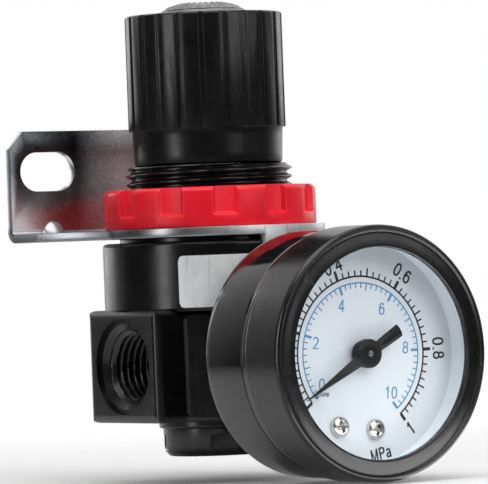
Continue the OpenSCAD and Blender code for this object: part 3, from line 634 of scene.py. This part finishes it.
# ---------------------------------------------------------------- the small moulded fillets where the port bosses meet the round body, coloured lighter than the body as a painted highlight line
FR, FY, FC = 0.75, 11.1, 17.7
fx = math.sqrt((FC + FR) ** 2 - (FY + FR) ** 2)
t_end = math.atan2(-(FY + FR), -fx) + math.pi  # from the fillet's centre back towards the axis
for sx in (-1, 1):
    for sy in (-1, 1):
        arc = []
        for i in range(13):
            a_ = math.pi / 2 + (t_end - math.pi / 2) * i / 12
            arc.append((-fx + FR * math.cos(a_), -(FY + FR) + FR * math.sin(a_)))
        sec = [(-fx, -FY + 0.25)] + arc + [(arc[-1][0] + 0.22, arc[-1][1] + 0.16)]
        vs = [P(-sx * q[0], -sy * q[1], z) for z in (-8.45, 8.15) for q in sec]
        n_ = len(sec)
        fs = [list(range(n_)), list(range(n_, 2 * n_))] + [[i, (i + 1) % n_, n_ + (i + 1) % n_, n_ + i] for i in range(n_)]
        new_object("boss_fillet_%d%d" % (sx > 0, sy > 0), vs, fs, M["fillet"], "housing", 30)

# ---------------------------------------------------------------- nut, bracket, plug and knob: the CAD shapes with worked edges
nut = refined("panel_nut", "red_panel_nut", M["panel_nut"], 0.16, 26, segments=2)
brk = refined("mounting_bracket", "wall_bracket", M["mounting_bracket"], 0.16, 40, segments=2)
knob = refined("knob", "grip_knob", M["knob"], 0.11, 24, keep=lambda c: (Vector((c.x, c.y - AX_Y)).length > 12.9 * MM), segments=2)
plug = refined("bottom_plug", "bottom_plug_head", M["bottom_plug"], 0.14, 28, keep=lambda c: c.z < PORT_Z - 11.6 * MM, segments=2)

# ---------------------------------------------------------------- the knob's crown: a low dome with ribs down its shoulder
NC = 352
ct = np.linspace(0, 2 * math.pi, NC, endpoint=False)
outline = [(8.0, 61.9), (8.0, 60.7), (8.2, 60.52), (9.5, 60.52), (9.7, 60.7), (9.7, 62.08), (9.62, 62.22), (9.4, 62.38), (9.2, 62.43), (8.1, 62.45)]
Rr, Zz = [np.full(NC, 0.0), np.full(NC, 7.6)], [np.full(NC, 61.9), np.full(NC, 61.9)]
for r, z in outline:
    Rr.append(np.full(NC, r)), Zz.append(np.full(NC, z))
knurl = np.clip(1 - (np.abs(frac(ct * 22 / (2 * math.pi) + 0.5) - 0.5) / 0.36) ** 2, 0, 1) ** 0.6
lip = [(7.9, 62.47), (7.76, 62.56), (7.62, 62.74), (7.5, 62.88), (6.95, 62.9), (6.95, 63.0), (7.2, 63.01), (7.24, 63.05)]
dome = [(r, 64.4 - 0.0262 * r * r) for r in (7.1, 6.8, 6.5, 6.2, 5.9, 5.6, 5.3, 5.0, 4.7, 4.4, 4.1, 3.8, 3.5, 3.2, 2.9, 2.4, 1.8, 1.2, 0.6)]
for r, z in lip:
    Rr.append(np.full(NC, r)), Zz.append(np.full(NC, z))
for r, z in dome:
    k = smooth((6.9 - r) / 0.5) * smooth((r - 3.1) / 0.6)
    Rr.append(np.full(NC, r)), Zz.append(np.minimum(z + 0.30 * k * knurl, 64.39))
Rr.append(np.zeros(NC)), Zz.append(np.full(NC, 64.4))
crown = ring_solid("knob_crown", np.array(Rr), np.array(Zz), up_place, M["knob_cap"], "knob", "knob_cap", 38, closed=False)
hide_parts("knob_cap")

# ---------------------------------------------------------------- label: a thin foil with rounded corners, wrapped round the body
LR, LT, LH0, LH1, LA = 19.53, 0.09, 10.1, 19.2, math.radians(52)
nu, nv = 120, 28
verts, faces = [], []
top, bot = {}, {}
half_h = (LH1 - LH0) / 2
mid_h = (LH1 + LH0) / 2
for i in range(nu + 1):
    for j in range(nv + 1):
        s, t_ = -1 + 2 * i / nu, -1 + 2 * j / nv
        a, h = s * LA * 19.5, t_ * half_h
        # squeeze the grid into a rounded rectangle
        ax_, hx_ = LA * 19.5 - 0.9, half_h - 0.9
        m_ = max(abs(a) - ax_, 0.0)
        if m_ > 0:
            lim = hx_ + math.sqrt(max(0.9 * 0.9 - m_ * m_, 0.0))
            h = t_ * max(lim, 0.02)
        ang = -math.pi / 2 + a / 19.5
        wob = 0.012 * math.sin(a * 0.9 + h * 1.3) * math.sin(h * 1.1)
        for k, rr in ((0, LR), (1, LR + LT + wob)):
            (bot if k == 0 else top)[(i, j)] = len(verts)
            verts.append(P(rr * math.cos(ang), rr * math.sin(ang), mid_h + h))
for i in range(nu):
    for j in range(nv):
        for g, flip in ((top, False), (bot, True)):
            f = [g[(i, j)], g[(i + 1, j)], g[(i + 1, j + 1)], g[(i, j + 1)]]
            faces.append(f[::-1] if flip else f)
edge = [(i, 0) for i in range(nu)] + [(nu, j) for j in range(nv)] + [(i, nv) for i in range(nu, 0, -1)] + [(0, j) for j in range(nv, 0, -1)]
for k in range(len(edge)):
    a, b = edge[k], edge[(k + 1) % len(edge)]
    faces.append([top[a], bot[a], bot[b], top[b]])
label = new_object("label_blank", verts, faces, M["label_sticker"], "housing", 50)
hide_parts("label_sticker")

# ---------------------------------------------------------------- gauge: case, bezel ring, window
CR, BR, B0, BF, CB, LB, DIAL = 21.5, 22.0, 41.0, 50.75, 27.5, 48.3, 43.7
case_out = [(4.55, CB), (CR - 2.6, CB), (CR - 1.2, CB + 0.08), (CR - 0.45, CB + 0.42), (CR - 0.08, CB + 1.15), (CR, CB + 2.0),
            (CR, CB + 11.6), (CR - 0.16, CB + 11.75), (CR - 0.16, CB + 11.95), (CR, CB + 12.1), (CR, B0 - 0.12), (CR - 0.14, B0), (CR - 0.35, B0 + 0.02), (CR - 0.35, 46.45), (CR - 0.45, 46.5), (CR - 1.15, 46.5), (CR - 1.15, CB + 0.8), (4.55, CB + 0.8)]
gcase = lathe("gauge_shell", case_out, gauge_place, M["gauge_case"], "housing", "gauge_case", 256, 38, 0.12, 3)
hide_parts("gauge_case")
bez_out = [(CR - 0.3, B0 + 0.05), (BR - 0.22, B0 + 0.03), (BR - 0.04, B0 + 0.14), (BR, B0 + 0.4), (BR, B0 + 4.0), (BR, BF - 1.0), (BR - 0.05, BF - 0.55),
           (BR - 0.22, BF - 0.22), (BR - 0.5, BF - 0.04), (BR - 0.8, BF), (BR - 0.98, BF - 0.06), (BR - 1.1, BF - 0.3), (BR - 1.28, BF - 0.38), (BR - 1.6, BF - 0.36),
           (BR - 2.6, BF - 0.22), (BR - 3.5, BF - 0.14), (BR - 3.78, BF - 0.2), (BR - 3.89, BF - 0.42), (BR - 3.9, BF - 0.9), (BR - 3.9, LB + 1.24), (CR - 0.3, LB + 1.24)]
bezel = lathe("gauge_bezel_ring", bez_out, gauge_place, M["gauge_bezel"], "housing", "gauge_bezel", 288, 40, 0.08, 3)
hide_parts("gauge_bezel")
lens = disc("gauge_window", [(0, LB), (6, LB), (12, LB), (20.75, LB), (20.88, LB + 0.08), (20.9, LB + 0.2), (20.9, LB + 1.0), (20.88, LB + 1.12), (20.75, LB + 1.2), (12, LB + 1.2), (6, LB + 1.2), (0, LB + 1.2)],
            gauge_place, M["gauge_lens"], "housing", "gauge_lens", 192, 30)
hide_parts("gauge_lens")

# ---------------------------------------------------------------- dial print: arcs, ticks and figures as thin ink
INK0, INK1 = DIAL + 0.004, DIAL + 0.03
ZERO, SWEEP, TURN = 126.9, 270.0, -8.0


def dial_prism(pts, d0=INK0, d1=INK1):
    """A thin prism of a flat outline given as (u, w) on the dial."""
    n = len(pts)
    v = [G(u, w, d0) for u, w in pts] + [G(u, w, d1) for u, w in pts]
    f = [list(range(n))[::-1], list(range(n, 2 * n))] + [[i, (i + 1) % n, n + (i + 1) % n, n + i] for i in range(n)]
    return v, f


def polar(r, ang):
    a = math.radians(ang)
    return (-r * math.sin(a), r * math.cos(a))


def tick(value, r0, r1, w):
    """A radial tick w wide at value, 0 to 1 of the scale."""
    a = math.radians(ZERO - SWEEP * value)
    c, s = math.cos(a), math.sin(a)
    return [(-r * s + k * c, r * c + k * s) for r, k in ((r0, -w / 2), (r0, w / 2), (r1, w / 2), (r1, -w / 2))]


def arc_strip(r, w, a0, a1, n=160):
    """An arc of line width w, as one strip."""
    verts, faces = [], []
    for i in range(n + 1):
        a = a0 + (a1 - a0) * i / n
        for rr in (r - w / 2, r + w / 2):
            for d in (INK0, INK1):
                u, w_ = polar(rr, a)
                verts.append(G(u, w_, d))
    for i in range(n):
        o, q = i * 4, i * 4 + 4
        faces += [[o, q, q + 2, o + 2], [o + 1, o + 3, q + 3, q + 1], [o, o + 1, q + 1, q], [o + 2, q + 2, q + 3, o + 3]]
    faces += [[0, 2, 3, 1], [n * 4, n * 4 + 1, n * 4 + 3, n * 4 + 2]]
    return verts, faces


def oval(cx, cy, rx, ry, a0=0.0, a1=360.0, n=26, power=2.3):
    """Points along a slightly squared oval."""
    out = []
    for i in range(n + (0 if a1 - a0 == 360.0 else 1)):
        a = math.radians(a0 + (a1 - a0) * i / n)
        c, s = math.cos(a), math.sin(a)
        out.append((cx + rx * math.copysign(abs(c) ** (2 / power), c), cy + ry * math.copysign(abs(s) ** (2 / power), s)))
    return out


# centre lines of each figure in a box one digit high; True closes a stroke on itself
GLYPHS = {
    "0": (0.78, [(oval(0, 0, 0.255, 0.435), True)]),
    "1": (0.78, [([(-0.17, 0.24), (-0.06, 0.29), (0.03, 0.37), (0.065, 0.45)], False), ([(0.065, 0.50), (0.065, -0.50)], False)]),
    "2": (0.78, [(oval(0.0, 0.205, 0.245, 0.23, 172, -20, 14, 2.1) + [(0.19, 0.03), (0.05, -0.13), (-0.15, -0.30), (-0.245, -0.435), (0.30, -0.435)], False)]),
    "4": (0.78, [([(0.11, 0.46), (-0.265, -0.195), (0.32, -0.195)], False), ([(0.125, 0.50), (0.125, -0.50)], False)]),
    "6": (0.78, [(oval(0.0, -0.165, 0.25, 0.27), True), ([(-0.249, -0.16), (-0.245, 0.03), (-0.215, 0.22), (-0.14, 0.37), (0.0, 0.435), (0.12, 0.41), (0.215, 0.29)], False)]),
    "8": (0.78, [(oval(0.0, 0.225, 0.205, 0.21), True), (oval(0.0, -0.205, 0.25, 0.23), True)]),
    ".": (0.39, [([(0.0, -0.50), (0.0, -0.37)], False)]),
    "M": (1.14, [([(-0.36, -0.50), (-0.36, 0.50)], False), ([(-0.35, 0.44), (0.0, -0.44), (0.35, 0.44)], False), ([(0.36, 0.50), (0.36, -0.50)], False)]),
    "P": (0.92, [([(-0.29, -0.50), (-0.29, 0.50)], False), ([(-0.29, 0.44), (0.08, 0.44), (0.22, 0.38), (0.285, 0.22), (0.22, 0.06), (0.08, 0.0), (-0.29, 0.0)], False)]),
    "a": (0.76, [([(-0.21, 0.07), (-0.13, 0.17), (0.0, 0.20), (0.13, 0.17), (0.19, 0.06), (0.195, -0.20), (0.24, -0.50)], False), ([(0.19, -0.09), (-0.04, -0.13), (-0.19, -0.19), (-0.235, -0.30), (-0.17, -0.41), (-0.04, -0.44), (0.10, -0.40), (0.19, -0.27)], False)]),
}


def stroke(pts, width, closed, lift):
    """A line of constant width along pts (already on the dial, in millimetres), as one thin solid with mitred corners."""
    n = len(pts)
    left, right_ = [], []
    for i in range(n):
        p = Vector(pts[i])
        a = Vector(pts[i - 1]) if (closed or i > 0) else None
        b = Vector(pts[(i + 1) % n]) if (closed or i < n - 1) else None
        d1 = (p - a).normalized() if a is not None else (b - p).normalized()
        d2 = (b - p).normalized() if b is not None else d1
        m = Vector((-(d1.y + d2.y), d1.x + d2.x))
        m = m.normalized() if m.length > 1e-6 else Vector((-d1.y, d1.x))
        k = width / 2 / max(0.5, m.dot(Vector((-d1.y, d1.x))))
        left.append(p + m * k)
        right_.append(p - m * k)
    V, F = [], []
    for q, r in zip(left, right_):
        V += [G(q.x, q.y, INK0), G(r.x, r.y, INK0), G(q.x, q.y, INK1 + lift), G(r.x, r.y, INK1 + lift)]
    for i in range(n if closed else n - 1):
        o, q = 4 * i, 4 * ((i + 1) % n)
        F += [[o, o + 1, q + 1, q], [o + 2, q + 2, q + 3, o + 3], [o, q, q + 2, o + 2], [o + 1, o + 3, q + 3, q + 1]]
    if not closed:
        e = 4 * (n - 1)
        F += [[0, 2, 3, 1], [e, e + 1, e + 3, e + 2]]
    return V, F


def figure(text, size, u, w, turn, squeeze=0.85, weight=0.28):
    """Generic dial figures as thin ink: size is the height of a digit and weight the width of a line, in millimetres."""
    total = sum(GLYPHS[c][0] for c in text)
    x0 = -total / 2
    a = math.radians(turn)
    ca, sa_ = math.cos(a), math.sin(a)
    parts = []
    for c in text:
        adv, lines = GLYPHS[c]
        for j, (pts, closed) in enumerate(lines):
            flat_ = []
            for px, py in pts:
                x, y = (x0 + adv / 2 + px) * size * squeeze, py * size
                flat_.append((u + x * ca - y * sa_, w + x * sa_ + y * ca))
            parts.append(stroke(flat_, weight * (1.25 if c == "." else 1.0), closed, 0.0012 * (j + 1)))
        x0 += adv
    return joined(parts)


def joined(parts):
    V, F = [], []
    for v, f in parts:
        o = len(V)
        V += v
        F += [[k + o for k in g] for g in f]
    return V, F


black, blue = [], []
RB, RU = 13.26, 12.14
black.append(arc_strip(RB, 0.31, ZERO + 0.4, ZERO - SWEEP - 0.4, 200))
blue.append(arc_strip(RU, 0.23, ZERO + 0.4, ZERO - SWEEP - 0.4, 200))
for i in range(51):
    v = i / 50
    if i % 10 == 0:
        black.append(dial_prism(tick(v, RB + 0.05, RB + 1.55, 0.56)))
        blue.append(dial_prism(tick(v, RU - 1.45, RU - 0.05, 0.46)))
    elif i % 5 == 0:
        black.append(dial_prism(tick(v, RB + 0.05, RB + 1.45, 0.29)))
        blue.append(dial_prism(tick(v, RU - 1.30, RU - 0.05, 0.22)))
    else:
        black.append(dial_prism(tick(v, RB + 0.05, RB + 1.02, 0.27)))
        blue.append(dial_prism(tick(v, RU - 0.88, RU - 0.05, 0.20)))
for text, value, r in (("0", 0.0, 16.45), ("0.2", 0.2, 16.4), ("0.4", 0.4, 15.95), ("0.6", 0.6, 16.45), ("0.8", 0.8, 16.55), ("1", 1.0, 16.6)):
    ang = ZERO - SWEEP * value
    u, w = polar(r, ang)
    black.append(figure(text, 2.40, u, w, ang + (180 if text == "1" else 0), 0.85, 0.35))
black.append(figure("MPa", 2.12, 3.42, -17.30, 10.5, 0.76, 0.30))
for text, u, w in (("0", -8.43, -4.90), ("2", -9.35, 2.22), ("4", -3.67, 8.31), ("6", 4.81, 7.52), ("8", 9.52, 0.66), ("10", 6.06, -6.95)):
    blue.append(figure(text, 2.15, u, w, -5.0, 0.88, 0.25))
for parts, nm, key in ((black, "dial_print_black", "ink_black"), (blue, "dial_print_blue", "ink_blue")):
    V, F = joined(parts)
    new_object(nm, V, F, M[key], "housing", 30)

# ---------------------------------------------------------------- pointer: a ridged needle with a bevelled tail and a round boss
REST = 119.6


def on_needle(s, k, d):
    """s along the needle from the axis, k across it, d forwards."""
    a = math.radians(REST)
    return G(-s * math.sin(a) + k * math.cos(a), s * math.cos(a) + k * math.sin(a), d)


D0 = DIAL + 2.30
stations = [(-7.70, 1.02, 0.34, 0.10), (-7.62, 1.14, 0.50, 0.16), (-6.9, 1.14, 0.54, 0.18), (-4.0, 1.05, 0.54, 0.18), (-2.6, 0.96, 0.54, 0.18), (0.0, 1.05, 0.56, 0.18), (2.4, 1.06, 0.58, 0.18), (3.2, 0.98, 0.58, 0.18), (6.0, 0.76, 0.55, 0.17),
            (9.0, 0.53, 0.50, 0.16), (12.0, 0.30, 0.42, 0.15), (14.3, 0.14, 0.34, 0.14), (15.2, 0.05, 0.26, 0.12)]
V, F = [], []
flat = 0.42
for s, w, ridge, side_h in stations:
    fl = w * (flat if s < -2.7 else 0.10)
    sec = [(-w, 0.0), (w, 0.0), (w, side_h), (fl, ridge), (-fl, ridge), (-w, side_h)]
    for k, d in sec:
        V.append(on_needle(s, k, D0 + d))
for i in range(len(stations) - 1):
    for j in range(6):
        a, b = i * 6 + j, i * 6 + (j + 1) % 6
        F.append([a, b, b + 6, a + 6])
F.append(list(range(6))[::-1])
F.append([len(V) - 6 + j for j in range(6)])
hub_n = 72
hub = [(0.0, D0 - 1.80), (1.2, D0 - 1.80), (2.18, D0 - 1.80), (2.28, D0 - 1.72), (2.28, D0 - 0.95), (2.36, D0 - 0.88), (2.5, D0 - 0.75), (2.5, D0 + 0.34), (2.45, D0 + 0.47), (2.25, D0 + 0.56), (1.7, D0 + 0.60), (1.62, D0 + 0.55), (1.35, D0 + 0.53), (0.95, D0 + 0.54), (0.9, D0 + 0.58), (0.62, D0 + 0.58), (0.0, D0 + 0.58)]
o = len(V)
ring_idx = []
for r, d in hub:
    if r == 0:
        ring_idx.append([len(V)] * hub_n)
        V.append(G(0, 0, d))
    else:
        ids = []
        for j in range(hub_n):
            a = 2 * math.pi * j / hub_n
            ids.append(len(V))
            V.append(G(r * math.cos(a), r * math.sin(a), d))
        ring_idx.append(ids)
for i in range(len(hub) - 1):
    for j in range(hub_n):
        k = (j + 1) % hub_n
        f = [ring_idx[i][j], ring_idx[i][k], ring_idx[i + 1][k], ring_idx[i + 1][j]]
        f = [v for t_, v in enumerate(f) if v != f[t_ - 1]]
        if len(f) > 2:
            F.append(f)
hand = new_object("pointer_needle", V, F, M["pointer"], "pointer_group", 22)
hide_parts("pointer")
# the bright end of the arbor, riveted over the boss
disc("arbor_end", [(0, D0 + 0.4), (0.30, D0 + 0.4), (0.40, D0 + 0.46), (0.42, D0 + 0.62), (0.38, D0 + 0.68), (0.26, D0 + 0.73), (0, D0 + 0.75)], gauge_place, M["nickel"], "pointer_group", "pinion_shaft", 48, 40)

# ---------------------------------------------------------------- dial screws: pan heads with a cross recess
sa = math.radians(-6.3)
for k, s in enumerate((-1, 1)):
    x, y = s * 3.8, -12.8
    u, w = x * math.cos(sa) - y * math.sin(sa), x * math.sin(sa) + y * math.cos(sa)

    def at(a, b, d, u=u, w=w):
        return G(u + a, w + b, d)

    prof = [(0, DIAL + 0.02), (0.9, DIAL + 0.02), (1.72, DIAL + 0.02), (1.8, DIAL + 0.10), (1.8, DIAL + 0.42), (1.74, DIAL + 0.66), (1.58, DIAL + 0.86), (1.30, DIAL + 1.0), (0.9, DIAL + 1.09), (0.45, DIAL + 1.14), (0, DIAL + 1.15)]
    head = disc("dial_screw_%d" % k, prof, at, M["nickel"], "housing", "dial_screws", 72, 40)
    # cutter: a tapered cross
    bm = bmesh.new()
    turn = math.radians(18 if k == 0 else -14)
    for q in (0, 1):
        a0 = turn + q * math.pi / 2
        vs = []
        for d, l, t2 in ((DIAL + 0.22, 0.50, 0.22), (DIAL + 1.3, 1.25, 0.36)):
            for sx, sy in ((-1, -1), (1, -1), (1, 1), (-1, 1)):
                a, b = sx * l, sy * t2
                vs.append(bm.verts.new(at(a * math.cos(a0) - b * math.sin(a0), a * math.sin(a0) + b * math.cos(a0), d)))
        bm.faces.new(vs[0:4][::-1])
        bm.faces.new(vs[4:8])
        for j in range(4):
            bm.faces.new([vs[j], vs[(j + 1) % 4], vs[4 + (j + 1) % 4], vs[4 + j]])
    bmesh.ops.recalc_face_normals(bm, faces=bm.faces)
    cm = bpy.data.meshes.new("cut")
    bm.to_mesh(cm)
    bm.free()
    cutter = bpy.data.objects.new("cut", cm)
    bpy.context.scene.collection.objects.link(cutter)
    mod = head.modifiers.new("cross", "BOOLEAN")
    mod.operation, mod.object, mod.solver = "DIFFERENCE", cutter, "EXACT"
    mod.use_self = True
    bpy.context.view_layer.update()
    done = bpy.data.meshes.new_from_object(head.evaluated_get(bpy.context.evaluated_depsgraph_get()))
    head.modifiers.clear()
    old = head.data
    head.data = done
    bpy.data.meshes.remove(old)
    bpy.data.objects.remove(cutter)
    shade(done, 28)
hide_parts("dial_screws")

# ---------------------------------------------------------------- floor, light and camera
floor_z = min(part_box("gauge_bezel")[0].z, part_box("bottom_plug")[0].z) - 0.0003
fm = Mat("pale_floor").set(spec=0.2)
fm.color(fm.mix(fm.ramp(fm.noise(0.004, 4, 0.5), 0.3, 0.7), (0.74, 0.74, 0.74), (0.78, 0.78, 0.78)))
fm.rough(fm.ramp(fm.noise(0.02, 4, 0.5), 0.3, 0.7, 0.7, 0.8))
ft = fm.t
geo = ft.nodes.new("ShaderNodeNewGeometry")
dist = ft.nodes.new("ShaderNodeVectorMath")
dist.operation = "LENGTH"
ft.links.new(geo.outputs["Position"], dist.inputs[0])
fade = fm.ramp(dist.outputs["Value"], 0.07, 0.22)
ftr = ft.nodes.new("ShaderNodeBsdfTransparent")
fmx = ft.nodes.new("ShaderNodeMixShader")
ft.links.new(fade, fmx.inputs["Fac"])
ft.links.new(fm.b.outputs["BSDF"], fmx.inputs[1])
ft.links.new(ftr.outputs["BSDF"], fmx.inputs[2])
ft.links.new(fmx.outputs["Shader"], ft.nodes["Material Output"].inputs["Surface"])
fl = bpy.data.meshes.new("floor")
nf = 96
fl.from_pydata([(1.3 * math.cos(2 * math.pi * i / nf), AX_Y + 1.3 * math.sin(2 * math.pi * i / nf), floor_z) for i in range(nf)], [], [list(range(nf))])
floor = bpy.data.objects.new("floor", fl)
fl.materials.append(fm.m)
bpy.context.scene.collection.objects.link(floor)

AZ, EL, ROLL = math.radians(-34.153), math.radians(1.240), math.radians(-2.183)
DIST, F_PX, CX, CY = 0.8587, 4799.8, 216.17, 362.14
back = Vector((math.sin(AZ) * math.cos(EL), -math.cos(AZ) * math.cos(EL), math.sin(EL)))
target = P(0, 0, 0)
eye = target + back * DIST
right = Vector((math.cos(AZ), math.sin(AZ), 0))
upv = right.cross(-back)
R2 = math.cos(ROLL) * right + math.sin(ROLL) * upv
U2 = -math.sin(ROLL) * right + math.cos(ROLL) * upv
look = (-back + R2 * ((244 - CX) / F_PX) + U2 * ((CY - 242) / F_PX)).normalized()
rx = (R2 - look * R2.dot(look)).normalized()
ux = rx.cross(look)
cam_data = bpy.data.cameras.new("camera")
cam = bpy.data.objects.new("camera", cam_data)
bpy.context.scene.collection.objects.link(cam)
cam.matrix_world = Matrix.Translation(eye) @ Matrix((rx, ux, -look)).transposed().to_4x4()
cam_data.sensor_fit = "HORIZONTAL"
cam_data.sensor_width = 36.0
cam_data.lens = F_PX / 488 * 36.0
cam_data.clip_start, cam_data.clip_end = 0.01, 20
bpy.context.scene.camera = cam

bh = Vector((back.x, back.y, 0)).normalized()


def lamp(name, side, low, high, dist, width, radiance, color=(1, 1, 1)):
    """A soft box standing upright: side is its bearing from the camera's side of the object, positive to the right."""
    a = math.radians(side)
    d = bh * math.cos(a) + right * math.sin(a)
    centre = target + d * dist
    centre.z = PORT_Z + (low + high) / 2
    h = high - low
    ld = bpy.data.lights.new(name, "AREA")
    ld.shape = "RECTANGLE"
    ld.size, ld.size_y = width, h
    ld.energy = radiance * math.pi * width * h
    ld.color = color
    lo_ = bpy.data.objects.new(name, ld)
    bpy.context.scene.collection.objects.link(lo_)
    z = d  # an area light shines along its local -Z
    x = Vector((0, 0, 1)).cross(z).normalized()
    lo_.matrix_world = Matrix.Translation(centre) @ Matrix((x, z.cross(x), z)).transposed().to_4x4()
    return lo_


lamp("soft_left", -52, -0.10, 0.50, 0.80, 0.17, 4.0)
lamp("soft_right", 44, 0.034, 0.60, 0.80, 0.26, 2.0)
key = lamp("soft_key", 34, 0.22, 0.90, 0.90, 0.70, 3.0)
key.visible_glossy = False
lamp("soft_high_right", 70, 0.12, 0.36, 0.80, 0.30, 1.5)
# a bounce card lying in front, low on the right: it only shows in the bezel's lower face
cd = bpy.data.lights.new("bounce_card", "AREA")
cd.shape = "RECTANGLE"
cd.size, cd.size_y = 0.055, 0.075
cd.energy = 3.2 * math.pi * cd.size * cd.size_y
card = bpy.data.objects.new("bounce_card", cd)
bpy.context.scene.collection.objects.link(card)
cdir = bh * math.cos(math.radians(66)) + right * math.sin(math.radians(66))
cpos = G(0, 0, 50) + cdir * 0.030
cpos.z = floor_z + 0.00012
card.matrix_world = Matrix.Translation(cpos) @ Matrix((cdir, Vector((0, 0, -1)).cross(cdir), Vector((0, 0, -1)))).transposed().to_4x4()
card.visible_camera = card.visible_diffuse = False
lamp("soft_back_left", -140, 0.0, 0.6, 1.0, 0.5, 1.3)
lamp("soft_back_right", 140, 0.0, 0.6, 1.0, 0.5, 1.0)
ld = bpy.data.lights.new("soft_top", "AREA")
ld.shape = "RECTANGLE"
ld.size, ld.size_y = 0.9, 0.9
ld.energy = 2.6 * math.pi * 0.81
top_l = bpy.data.objects.new("soft_top", ld)
bpy.context.scene.collection.objects.link(top_l)
tp = target + bh * 0.28 + Vector((0, 0, 0.85))
zz = (tp - target).normalized()
xx = right
top_l.matrix_world = Matrix.Translation(tp) @ Matrix((xx, zz.cross(xx), zz)).transposed().to_4x4()

w = bpy.data.worlds.new("studio")
bpy.context.scene.world = w
w.use_nodes = True
wt = w.node_tree
bg = wt.nodes["Background"]
tc = wt.nodes.new("ShaderNodeTexCoord")
dot = wt.nodes.new("ShaderNodeVectorMath")
dot.operation = "DOT_PRODUCT"
dot.inputs[1].default_value = (-bh.x, -bh.y, 0.62)
wt.links.new(tc.outputs["Generated"], dot.inputs[0])
wr = wt.nodes.new("ShaderNodeMapRange")
wr.inputs["From Min"].default_value = 0.18
wr.inputs["From Max"].default_value = 0.95
wr.inputs["To Min"].default_value = 0.035
wr.inputs["To Max"].default_value = 0.80
wt.links.new(dot.outputs["Value"], wr.inputs["Value"])
wc = wt.nodes.new("ShaderNodeCombineColor")
for i in range(3):
    wt.links.new(wr.outputs["Result"], wc.inputs[i])
wt.links.new(wc.outputs["Color"], bg.inputs["Color"])
bg2 = wt.nodes.new("ShaderNodeBackground")
bg2.inputs["Color"].default_value = (1, 1, 1, 1)
bg2.inputs["Strength"].default_value = 1.0
lp = wt.nodes.new("ShaderNodeLightPath")
mx = wt.nodes.new("ShaderNodeMixShader")
wt.links.new(lp.outputs["Is Camera Ray"], mx.inputs["Fac"])
wt.links.new(bg.outputs["Background"], mx.inputs[1])
wt.links.new(bg2.outputs["Background"], mx.inputs[2])
wt.links.new(mx.outputs["Shader"], wt.nodes["World Output"].inputs["Surface"])

bpy.context.scene.view_settings.view_transform = "Standard"
bpy.context.scene.view_settings.look = "None"
